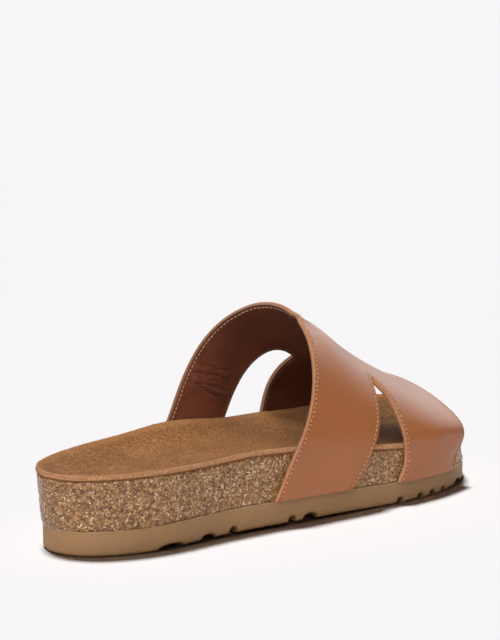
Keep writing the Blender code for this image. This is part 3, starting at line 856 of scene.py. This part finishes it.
def upper_grid():
    """The upper's face as a grid of two straps that share their points in the bridge.

    Rows go round the foot, columns across each strap, closer together at the cut edges. Worked out once: the
    points, their stations, ways, normals and distances from the cut edges, and the faces. lip is the distance
    from a free edge along the station, which grows where a cut-out closes.
    """
    if _UPPER:
        return _UPPER
    ways = upper_rows()
    rear_end, front_start = cut_edges(ways)
    rear_start, front_end = outer_edges(ways)
    share = (1.0 - np.cos(np.linspace(0.0, np.pi, STRAP_COLUMNS + 1))) / 2.0
    stations = np.concatenate([rear_start[:, None] + (rear_end - rear_start)[:, None] * share,
                               front_start[:, None] + (front_end - front_start)[:, None] * share], axis=1)
    rows, columns = stations.shape
    way = np.broadcast_to(ways[:, None], stations.shape).copy()
    points, along, _, normals = strap_frame(stations, way)
    number = np.arange(rows * columns).reshape(rows, columns)
    joined = np.isclose(rear_end, front_start)
    half = STRAP_COLUMNS + 1
    rear, front = stations[:, :half], stations[:, half:]
    to_outer = np.concatenate([rear - rear_start[:, None], front_end[:, None] - front], axis=1)
    to_inner = np.concatenate([rear_end[:, None] - rear, front - front_start[:, None]], axis=1)
    to_inner += np.maximum(CLOSED_GAP - (front_start - rear_end), 0.0)[:, None]
    lip = np.minimum(to_outer, to_inner) * np.linalg.norm(along, axis=-1)
    number[joined, half] = number[joined, STRAP_COLUMNS]
    strips = np.delete(np.arange(columns - 1), STRAP_COLUMNS)
    faces = np.stack([number[:-1][:, strips], number[:-1][:, strips + 1],
                      number[1:][:, strips + 1], number[1:][:, strips]], axis=-1).reshape(-1, 4)
    edges = [strap_point(*line) for line in sewn_edges()]
    _UPPER.update(points=points, station=stations, way=way, normal=normals, faces=faces, lip=lip,
                  edge=nearest(points, edges))
    return _UPPER


def used_points(faces, *arrays):
    """Faces renumbered over the points they use, and the arrays cut down to those points."""
    used, packed = np.unique(faces, return_inverse=True)
    return [packed.reshape(faces.shape)] + [array.reshape(-1, *array.shape[2:])[used] for array in arrays]


CHANNEL, PUFF, TUCK = (-0.25, 0.55), (0.10, 0.6), (-0.3, 0.035)  # height and width
CORNER = ((1.0, 0.25, 0.07), (-0.7, 0.10, 0.05))  # height, way and width of the bulge and the hollow
CORNER_STATIONS = (172.0, 192.0)  # between which they fade in
WAVES = ((0.12, 9.0, 5.0), (0.08, 4.7, -9.0))  # height, stations to a radian, radians to a way
WAVES_FADE = (2.0, 8.0)  # distances from the edge between which they fade in


def leather_swell(station, way, edge, stitch_inset):
    """Relief of the leather along its normal, in millimetres.

    A sewn channel runs at the stitches' inset, the strip outside it is puffed, the foot is tucked in, the
    outer front corner bulges over a soft hollow, and two slow waves keep the face from being perfectly even.
    """
    channel = CHANNEL[0] * bump(edge, stitch_inset, CHANNEL[1])
    puffed = PUFF[0] * bump(edge, 0.5 * stitch_inset, PUFF[1])
    tuck = TUCK[0] * bump(np.minimum(way, 2.0 - way), 0.0, TUCK[1])
    corner = sum(height * bump(way, at, wide) for height, at, wide in CORNER)
    corner = corner * smooth_step(station, *CORNER_STATIONS)
    waves = sum(height * np.sin(station / long + over * way) for height, long, over in WAVES)
    return channel + puffed + tuck + corner + waves * smooth_step(edge, *WAVES_FADE)


FOLD_WAY, FOLD_WIDTH, FOLD_HEIGHT = 0.835, 0.022, 0.9  # the first two in ways, the height in millimetres
FOLD_FADE = (2.0, 20.0)  # distances from the rear edge between which the fold fades


def crest_fold(station, way):
    """Height of the soft fold that runs forward from the rear edge beside the crest and fades."""
    rear, _ = outer_edges(way)
    return FOLD_HEIGHT * bump(way, FOLD_WAY, FOLD_WIDTH) * (1.0 - smooth_step(station - rear, *FOLD_FADE))


def lining_creases(station, way):
    """Relief of the lining's creases, towards the foot, and the painted shade in their troughs.

    Along each line runs a low swell with a trough in its middle, fading at both ends.
    """
    relief, dark = np.zeros(station.shape), np.zeros(station.shape)
    for start, at, end, to, height, width in zip(*LINING_CREASES.values()):
        share = (station - start) / (end - start)
        off = WAY_SPAN * (way - at - (to - at) * share)
        fade = smooth_step(share, *CREASE_START) * (1.0 - smooth_step(share, *CREASE_END))
        relief += height * fade * (bump(off, 0.0, CREASE_SWELL * width) - bump(off, 0.0, width))
        dark = np.maximum(dark, fade * bump(off, 0.0, width))
    return relief, dark


def eased(lip):
    """Drop of a face towards its rounded edge: a quarter circle."""
    short = np.clip(1.0 - lip / EDGE_ROUND, 0.0, 1.0)
    return EDGE_ROUND * (1.0 - np.sqrt(1.0 - short**2))


def shell(faces, outer, inner):
    """A closed wall: the outer face, the inner face turned over, and quads between their free edges.

    A free edge is one that only one face has. The last array gives 1 to the quads, 0 to the faces.
    """
    count = len(outer)
    edges = np.stack([faces, np.roll(faces, -1, axis=1)], axis=-1).reshape(-1, 2)
    _, first, uses = np.unique(np.sort(edges, axis=1), axis=0, return_index=True, return_counts=True)
    start, end = edges[first[uses == 1]].T
    rim = np.stack([end, start, start + count, end + count], axis=-1)
    whole = np.concatenate([faces, faces[:, ::-1] + count, rim])
    return np.concatenate([outer, inner]), whole, np.repeat([0, 0, 1], [len(faces), len(faces), len(rim)])


def add_wall(name, outer, inner, finishes, values, replaces=None):
    """One layer of the straps: a closed wall between two faces of the grid, its cut edges painted apart."""
    faces, outer, inner, *kept = used_points(upper_grid()["faces"], outer, inner, *values.values())
    points, faces, painted = shell(faces, outer, inner)
    values = {label: np.tile(numbers, 2) for label, numbers in zip(values, kept)}
    add_piece(name, points, faces, finishes, "leather_upper", sharp=SHARP_ANGLE, painted=painted,
              values=values, replaces=replaces)


class SANDAL_OT_leather(bpy.types.Operator):
    """Make the leather of the straps"""
    bl_idname = "sandal.leather"
    bl_label = "Leather"

    def execute(self, context):
        settings = context.scene.sandal_upper
        grid = upper_grid()
        swell = leather_swell(grid["station"], grid["way"], grid["edge"], settings.stitch_inset / MM)
        swell += crest_fold(grid["station"], grid["way"])
        outer = grid["points"] + grid["normal"] * (swell - eased(grid["lip"]))[..., None]
        inner = grid["points"] + grid["normal"] * (swell - settings.leather_thickness / MM)[..., None]
        finishes = [leather_finish(settings), edge_finish("leather_edge", tuple(settings.leather_edge), 0.5)]
        add_wall("strap_leather", outer, inner, finishes, {"edge": grid["edge"], "way": grid["way"]}, "upper")
        return {"FINISHED"}


# painted light: the lining's painted shade lifts between these ways and stations, where the light from the
# camera's side reaches it
SEEN_WAYS, SEEN_STATIONS = (1.25, 1.6), (122.0, 146.0)  # between these the lining lightens


class SANDAL_OT_lining(bpy.types.Operator):
    """Make the lining inside the straps"""
    bl_idname = "sandal.lining"
    bl_label = "Lining"

    def execute(self, context):
        settings = context.scene.sandal_upper
        grid = upper_grid()
        depth = settings.leather_thickness / MM + LAYER_GAP
        relief, dark = lining_creases(grid["station"], grid["way"])
        relief -= crest_fold(grid["station"], grid["way"])
        outer = grid["points"] - grid["normal"] * (depth + relief)[..., None]
        inner = grid["points"] - grid["normal"] * (SEWN_THICKNESS + relief - eased(grid["lip"]))[..., None]
        # share of the lining where its painted shade lifts
        lit_share = smooth_step(grid["way"], *SEEN_WAYS) * (1.0 - smooth_step(grid["station"], *SEEN_STATIONS))
        finishes = [lining_finish(settings), edge_finish("lining_edge", tuple(settings.lining_edge), 0.6)]
        add_wall("strap_lining", outer, inner, finishes,
                 {"crease": dark, "inner_shade": 1.0 - lit_share, "way": grid["way"]})
        return {"FINISHED"}


STITCH_GRID = (7, 8)  # points along a stitch and round it
STITCH_POWERS = (0.7, 0.6)  # how blunt its ends are, along it and across
STITCH_ENDS = (0.025, 1.975)  # ways between which the straps are sewn
STITCH_HALF = (0.38, 0.33)  # half-width and half-height of a stitch
STITCH_STRAY, STITCH_UNEVEN = 0.10, 0.10  # sideways in millimetres, and as a share of the length
STITCH_CLEAN, STITCH_SOILED = 0.92, 0.12  # mean and spread of the thread's cleanness
STITCH_SUNK, LINING_SUNK = 0.08, 0.02  # how far a stitch's middle lies under the face
LINING_STRETCH = 1.15  # length of a stitch on the lining, in lengths on the leather
# painted shade on the lining's thread: 1 leaves it as it is, and the low values darken the stitches round the
# cut-outs, where little light reaches
LINING_THREAD_SHADE = (1.0, 1.0, 0.1, 0.1)  # thread along the rear and front edges, and round the two cut-outs


def stitch_shape():
    """One stitch as a grid: a rounded bar, from powers of sine and cosine along it and a circle round it."""
    along = np.linspace(0.0, np.pi, STITCH_GRID[0])[:, None]
    round_ = np.linspace(0.0, 2.0 * np.pi, STITCH_GRID[1], endpoint=False)[None]
    bar = -np.sign(np.cos(along)) * np.abs(np.cos(along)) ** STITCH_POWERS[0]
    thick = np.abs(np.sin(along)) ** STITCH_POWERS[1]
    return np.stack(np.broadcast_arrays(bar, thick * np.cos(round_), thick * np.sin(round_)), axis=-1)


def make_stitches(name, settings, depth, finish, stretch=1.0, tone_and_shade=(1.0, 1.0, 1.0, 1.0)):
    """Stitches along every cut edge: one shape, set along the edges moved in by the stitches' inset.

    Each stitch is a little longer or shorter and nearer or further than the next, and a little more or less
    soiled; each edge's painted shade darkens its stitches further.
    """
    pitch, half = settings.stitch_pitch / MM, stretch * settings.stitch_length / MM / 2.0
    shape = stitch_shape()
    every, soil_and_shade = [], []
    uneven = np.random.default_rng(11)
    for line, edge_shade in zip(sewn_edges(), tone_and_shade):
        path = moved_in(line, settings.stitch_inset / MM)
        path = path[:, (path[1] > STITCH_ENDS[0]) & (path[1] < STITCH_ENDS[1])]
        stations, ways = evenly(*path, pitch)
        point, _, _, normal = strap_frame(stations, ways)
        ahead = np.gradient(point, axis=0)
        ahead = unit(ahead - normal * (ahead * normal).sum(-1, keepdims=True))
        aside = np.cross(normal, ahead)
        off, long, pale = uneven.normal(0.0, 1.0, (3, len(stations), 1))
        fold = (crest_fold(stations, ways) - depth)[:, None]
        middle = point + normal * fold + STITCH_STRAY * off * aside
        bar = half * (1.0 + STITCH_UNEVEN * long) * ahead
        every.append(middle[:, None, None] + shape[..., :1] * bar[:, None, None]
                     + STITCH_HALF[0] * shape[..., 1:2] * aside[:, None, None]
                     + STITCH_HALF[1] * shape[..., 2:] * normal[:, None, None])
        # each stitch's random soiling times its edge's painted shade
        soil_and_shade.append(edge_shade * np.clip(STITCH_CLEAN + STITCH_SOILED * pale[:, 0], 0.0, 1.0))
    points = np.concatenate(every)
    count, rows, around = points.shape[:3]
    faces = (ring_faces(rows, around)[None] + np.arange(count)[:, None, None] * rows * around).reshape(-1, 4)
    values = {"tone_and_shade": np.repeat(np.concatenate(soil_and_shade), rows * around)}
    add_piece(name, points, faces, [finish], "leather_upper", values=values)


class SANDAL_OT_stitching(bpy.types.Operator):
    """Make the stitches on the leather and on the lining"""
    bl_idname = "sandal.stitching"
    bl_label = "Stitching"

    def execute(self, context):
        settings = context.scene.sandal_upper
        make_stitches("strap_stitches", settings, STITCH_SUNK,
                      thread_finish("tan_thread", tuple(settings.thread)))
        make_stitches("lining_stitches", settings, SEWN_THICKNESS + LINING_SUNK,
                      thread_finish("pale_thread", tuple(settings.lining_thread)),
                      LINING_STRETCH, LINING_THREAD_SHADE)
        return {"FINISHED"}


UNDER_INSET = 6.0  # from the rim to where the underside starts
UNDER_SHARES = (1.0, 0.7, 0.4, 0.2)  # rows of the underside, from the spine out
FOOT_OF_BAND = ((UNDER_INSET, SUEDE_THICKNESS), (0.5, SUEDE_THICKNESS), (0.0, SUEDE_THICKNESS - 0.1))
# outward, below the rim, and the band's number: 1 on the band, 2 under it, where the suede is painted with a
# dark line of shade
BAND_ROWS = ((0.0, 2.7, 2.0), (0.2, 2.2, 1.0), (0.25, 1.5, 1.0), (0.2, 0.9, 1.0), (0.0, 0.45, 1.0))
LIP_ROWS = ((0.35, 0.15, 0.9), (0.8, 0.0, 0.5))  # inward, below the bed, share of the band's colour
LIP_DROP = 0.3  # the lip lies no lower than this under the rim
BAND_FUZZ = 0.19  # spread of the loose fibres at the band
BED_INSET, BED_ROWS, BED_CROWDING = 1.5, 30, 1.3
BED_BAND, BED_FADE = 0.3, 9.0  # the band's number on the bed beside it, and how fast it fades
RIDGE_AT, RIDGE_WIDTH, RIDGE_HEIGHT = (-21.5, 138.0), (3.0, 9.0), 0.7  # low ridge at the bed's inner side


class SANDAL_OT_footbed(bpy.types.Operator):
    """Make the suede footbed with its band round the rim"""
    bl_idname = "sandal.footbed"
    bl_label = "Footbed"

    def execute(self, context):
        angles = plan_angles(PLAN_SPACING)
        x, y, place = plan_loop(angles, 1.0)
        rim = round_plan(rim_height, angles, place)
        ends = spine(x, y)
        rows, band = [], []

        def add_row(at, z, on_band):
            rows.append((*at, z))
            band.append(on_band)

        start = inset(x, y, *ends, UNDER_INSET)
        for share in UNDER_SHARES:
            at = partway(*start, *ends, share)
            add_row(at, bed_height(*at) - SUEDE_THICKNESS, 2.0)
        for distance, below in FOOT_OF_BAND:
            at = inset(x, y, *ends, distance)
            add_row(at, np.minimum(bed_height(*at), rim) - below, 2.0)
        fuzz = np.random.default_rng(7).normal(0.0, BAND_FUZZ, (len(BAND_ROWS), len(angles)))
        for (out, below, on_band), fuzzy in zip(BAND_ROWS, fuzz):
            add_row(inset(x, y, *ends, -out - fuzzy), rim - below, on_band)
        for distance, below, on_band in LIP_ROWS:
            at = inset(x, y, *ends, distance)
            add_row(at, np.maximum(bed_height(*at), rim - LIP_DROP) - below, on_band)
        start = inset(x, y, *ends, BED_INSET)
        for share in np.linspace(0.0, 1.0, BED_ROWS) ** BED_CROWDING:
            at = partway(*start, *ends, share)
            ridge = (RIDGE_HEIGHT * bump(at[0], RIDGE_AT[0], RIDGE_WIDTH[0])
                     * bump(at[1], RIDGE_AT[1], RIDGE_WIDTH[1]))
            add_row(at, bed_height(*at) + ridge, BED_BAND * max(0.0, 1.0 - BED_FADE * share))
        add_rings("footbed_suede", rows, suede_finish(context.scene.sandal_sole), "suede_insole", "insole",
                  {"band": band})
        return {"FINISHED"}


CORK_SLACK = 0.05  # between the cork and the pieces above and below it
CORK_FOOT = 1.0  # inset of the cork's underside
CORK_STEPS, CORK_BED_ROWS, CORK_BED_START = 26, 8, 0.08  # rows of wall and top, and the top's first share
CORK_ROUGH = 0.16  # spread of the wall's roughness
CORK_EDGE = (0.35, 0.03)  # rounding of the wall's two edges, and the share of its height they take
CORK_SET_BACK = 0.1  # of the whole wall
CORK_MAP = (-0.002, 0.03)  # heights of the wall's own map, in metres


class SANDAL_OT_cork(bpy.types.Operator):
    """Make the cork body of the sole"""
    bl_idname = "sandal.cork"
    bl_label = "Cork"

    def execute(self, context):
        angles = plan_angles(PLAN_SPACING)
        around = len(angles)
        *foot, place = plan_loop(angles, CORK_OVERHANG)
        *head, _ = plan_loop(angles, 1.0)
        low = tread_top(place) + CORK_SLACK
        high = round_plan(rim_height, angles, place) - SUEDE_THICKNESS - CORK_SLACK
        ends = spine(*head)
        rows = [(*ends, low), (*inset(*foot, *ends, CORK_FOOT), low)]
        steps = np.linspace(0.0, 1.0, CORK_STEPS)
        rough = np.random.default_rng(5).normal(0.0, CORK_ROUGH, (len(steps), around))
        rough = (rough + np.roll(rough, 1, axis=1)) / 2.0
        for share, relief in zip(steps, rough):
            edges = bump(share, 0.0, CORK_EDGE[1]) + bump(share, 1.0, CORK_EDGE[1])
            at = partway(*foot, *head, share)
            back = CORK_EDGE[0] * edges + CORK_SET_BACK + relief
            rows.append((*inset(*at, *ends, back), low + (high - low) * share))
        for share in np.linspace(CORK_BED_START, 1.0, CORK_BED_ROWS):
            at = partway(*head, *ends, share)
            rows.append((*at, bed_height(*at) - SUEDE_THICKNESS - 2.0 * SEAT_GAP))
        wall = np.stack(rows[2], axis=-1)
        steps = np.linalg.norm(np.diff(wall, axis=0, append=wall[:1]), axis=1)
        gone = np.concatenate([[0.0], np.cumsum(steps)]) * MM
        row, here = np.meshgrid(np.arange(len(rows) - 1), np.arange(around), indexing="ij")
        heights = np.linspace(*CORK_MAP, len(rows))
        u = np.stack([gone[here], gone[here + 1], gone[here + 1], gone[here]], axis=-1)
        v = np.stack([heights[row], heights[row], heights[row + 1], heights[row + 1]], axis=-1)
        add_rings("cork_sole", rows, cork_finish(context.scene.sandal_sole), "cork_midsole", "midsole",
                  corner_uv=np.stack([u, v], axis=-1))
        return {"FINISHED"}


UNDER_ROWS, ROUND_ROWS, SIDE_ROWS = 22, 6, 9  # of the tread's underside, bottom edge and side
RIB_HEIGHT, RIB_TURN, RIB_SWING, RIB_REACH = 0.5, 1.15, 1.6, 5.5  # ribs: sin(turn y + swing sin(x / reach))
RIB_EDGE, RIB_FADE = (0.2, 0.8), (0.04, 0.10)  # a rib's flank, and shares over which ribs end at the rim
SIDE_WEAR = 0.4  # wear at the foot of the tread's side
SIDE_TOP = 0.9  # where the tread's side ends, below its upper face
SEAM_ROWS = ((0.0, 0.75, 0.0), (0.1, 0.45, 0.8), (0.05, 0.15, 1.0), (-0.25, 0.0, 1.0))  # out, below, glue
TOP_INSET, TOP_DROP = 3.0, 0.05  # of the tread's upper face


class SANDAL_OT_tread(bpy.types.Operator):
    """Make the rubber tread with its notches and fine ribs"""
    bl_idname = "sandal.tread"
    bl_label = "Tread"

    def execute(self, context):
        angles = plan_angles(PLAN_SPACING, with_grooves=True)
        x, y, _ = plan_loop(angles, 0.0)
        ends = spine(x, y)
        rows, floor_edge, seam = [], [], []

        def add_row(at, z, worn=0.0, glued=0.0):
            rows.append((*at, z))
            floor_edge.append(worn)
            seam.append(glued)

        start = inset(x, y, *ends, TREAD_ROUND)
        for share in np.linspace(1.0, 0.0, UNDER_ROWS):
            at_x, at_y = partway(*start, *ends, share)
            wavy = np.sin(RIB_TURN * at_y + RIB_SWING * np.sin(at_x / RIB_REACH))
            ribs = RIB_HEIGHT * smooth_step(wavy, *RIB_EDGE)
            low = lift(at_y) + groove_depth(at_y)
            add_row((at_x, at_y), low + ribs * smooth_step(share, *RIB_FADE), 1.0)
        foot = lift(y) + groove_depth(y)
        for angle in np.linspace(0.0, np.pi / 2.0, ROUND_ROWS)[1:]:
            at = inset(x, y, *ends, TREAD_ROUND * (1.0 - np.sin(angle)))
            add_row(at, foot + TREAD_ROUND * (1.0 - np.cos(angle)), 1.0 - angle / np.pi)
        top = tread_top(y)
        for share in np.linspace(0.0, 1.0, SIDE_ROWS)[1:-1]:
            side = foot + TREAD_ROUND + (top - SIDE_TOP - foot - TREAD_ROUND) * share
            add_row((x, y), side, SIDE_WEAR * (1.0 - share) ** 2)
        for out, below, glued in SEAM_ROWS:
            add_row(inset(x, y, *ends, -out), top - below, 0.0, glued)
        add_row(inset(x, y, *ends, TOP_INSET), top - TOP_DROP)
        add_row(ends, tread_top(ends[1]) - TOP_DROP)
        add_rings("rubber_tread", rows, rubber_finish(context.scene.sandal_sole), "rubber_outsole", "outsole",
                  {"floor_edge": floor_edge, "seam": seam}, sharp=SHARP_ANGLE)
        return {"FINISHED"}


CAMERA_PLACE = (0.78388, -0.74792, 0.28204)
CAMERA_YAW, CAMERA_PITCH, CAMERA_ROLL = np.radians([46.59, -10.02, -0.18])
SENSOR_HEIGHT = 36.0
FLOOR_REACH, FLOOR_DROP = 40.0, 0.0001  # half the floor's size, and its clearance under the tread
SKY_COLOUR = (1.0, 0.99, 1.0, 1.0)
BACKDROP_EDGE = (0.65, 0.95)  # cosines between which the white wall fades in
BACKDROP_FROM = (-0.35, 0.62, 0.70)  # direction of the white wall, behind the shoe and high up
KEY_FROM = (-0.12, 0.12, 0.985)  # direction of the soft light, almost straight above
FILL_FROM = (0.45, -0.65, 0.61)  # direction of the fill, on the camera's side
FLOOR_FROM = (-0.17, 0.02, 0.985)  # direction of the floor's own light


class SANDAL_OT_stage(bpy.types.Operator):
    """Set the floor, the light and the camera"""
    bl_idname = "sandal.stage"
    bl_label = "Stage"

    def execute(self, context):
        scene, settings = context.scene, context.scene.sandal_stage
        mesh = bpy.data.meshes.new("studio_floor")
        corners = ((-1, -1), (1, -1), (1, 1), (-1, 1))
        mesh.from_pydata([(FLOOR_REACH * u, FLOOR_REACH * v, -FLOOR_DROP) for u, v in corners], [],
                         [(0, 1, 2, 3)])
        floor = bpy.data.objects.new("studio_floor", mesh)
        scene.collection.objects.link(floor)
        material, tree, shader, place = new_finish("pale_floor", 0.9, Specular_IOR_Level=0.1)
        paint = noise(tree, place, 3.0, 2.0)
        tree.links.new(mixed(tree, paint, shade(settings.floor, 0.995), tuple(settings.floor)),
                       shader.inputs["Base Color"])
        mesh.materials.append(material)

        world = bpy.data.worlds.new("studio")
        world.use_nodes = True
        backdrop = world.node_tree.nodes["Background"]
        backdrop.inputs["Color"].default_value = SKY_COLOUR
        sky = world.node_tree
        view = sky.nodes.new("ShaderNodeTexCoord").outputs["Generated"]
        towards = add_node(sky, "ShaderNodeVectorMath", {0: view, 1: BACKDROP_FROM}, operation="DOT_PRODUCT")
        wall = spread(sky, towards.outputs["Value"], *BACKDROP_EDGE, settings.ambient, settings.backdrop)
        sky.links.new(wall, backdrop.inputs["Strength"])
        world.cycles_visibility.diffuse = False
        scene.world = world

        for name, side, energy, angle, on_floor in (
                ("soft_key", KEY_FROM, settings.key, settings.key_spread, "EXCLUDE"),
                ("soft_fill", FILL_FROM, settings.fill, settings.fill_spread, "EXCLUDE"),
                ("floor_light", FLOOR_FROM, settings.floor_light, settings.floor_spread, "INCLUDE")):
            light = bpy.data.lights.new(name, "SUN")
            light.energy, light.angle = energy, angle
            lamp = bpy.data.objects.new(name, light)
            lamp.rotation_euler = Vector(side).to_track_quat("Z", "Y").to_euler()
            scene.collection.objects.link(lamp)
            lit = bpy.data.collections.new(name)
            lit.objects.link(floor)
            lit.collection_objects[0].light_linking.link_state = on_floor
            lamp.light_linking.receiver_collection = lit

        yaw, pitch, roll = CAMERA_YAW, CAMERA_PITCH, CAMERA_ROLL
        ahead = np.array([-np.sin(yaw) * np.cos(pitch), np.cos(yaw) * np.cos(pitch), np.sin(pitch)])
        level = unit(np.cross(ahead, (0.0, 0.0, 1.0)))
        up = np.cross(level, ahead)
        right = np.cos(roll) * level + np.sin(roll) * up
        up = np.cos(roll) * up - np.sin(roll) * level
        camera = bpy.data.cameras.new("photo_camera")
        camera.lens = settings.lens
        camera.sensor_fit = "VERTICAL"
        camera.sensor_height = SENSOR_HEIGHT
        camera.clip_end = 200.0
        eye = bpy.data.objects.new("photo_camera", camera)
        turned = np.eye(4)
        turned[:3, 0], turned[:3, 1], turned[:3, 2], turned[:3, 3] = right, up, -ahead, CAMERA_PLACE
        eye.matrix_world = Matrix(turned.tolist())
        scene.collection.objects.link(eye)
        scene.camera = eye
        scene.view_settings.view_transform = "Standard"
        return {"FINISHED"}


OPERATORS = (SANDAL_OT_stage, SANDAL_OT_tread, SANDAL_OT_cork, SANDAL_OT_footbed, SANDAL_OT_leather,
             SANDAL_OT_lining, SANDAL_OT_stitching)


class SANDAL_PT_panel(bpy.types.Panel):
    """The sandal's pieces and settings"""
    bl_idname = "SANDAL_PT_panel"
    bl_label = "Slide Sandal"
    bl_space_type = "VIEW_3D"
    bl_region_type = "UI"
    bl_category = "Sandal"

    def draw(self, context):
        for operator in OPERATORS:
            self.layout.operator(operator.bl_idname)
        for settings in (context.scene.sandal_upper, context.scene.sandal_sole, context.scene.sandal_stage):
            box = self.layout.box()
            for name in settings.__annotations__:
                box.prop(settings, name)


SETTINGS = {"sandal_upper": UpperSettings, "sandal_sole": SoleSettings, "sandal_stage": StageSettings}


def register():
    """Register the settings, the operators and the panel."""
    for name, group in SETTINGS.items():
        bpy.utils.register_class(group)
        setattr(bpy.types.Scene, name, PointerProperty(type=group))
    for part in (*OPERATORS, SANDAL_PT_panel):
        bpy.utils.register_class(part)


def unregister():
    """Take everything back out."""
    for part in (SANDAL_PT_panel, *reversed(OPERATORS)):
        bpy.utils.unregister_class(part)
    for name, group in SETTINGS.items():
        delattr(bpy.types.Scene, name)
        bpy.utils.unregister_class(group)


def main():
    """Build every piece in order."""
    register()
    bpy.ops.sandal.stage()
    bpy.ops.sandal.tread()
    bpy.ops.sandal.cork()
    bpy.ops.sandal.footbed()
    bpy.ops.sandal.leather()
    bpy.ops.sandal.lining()
    bpy.ops.sandal.stitching()
    bpy.context.view_layer.update()


if __name__ == "__main__":
    main()
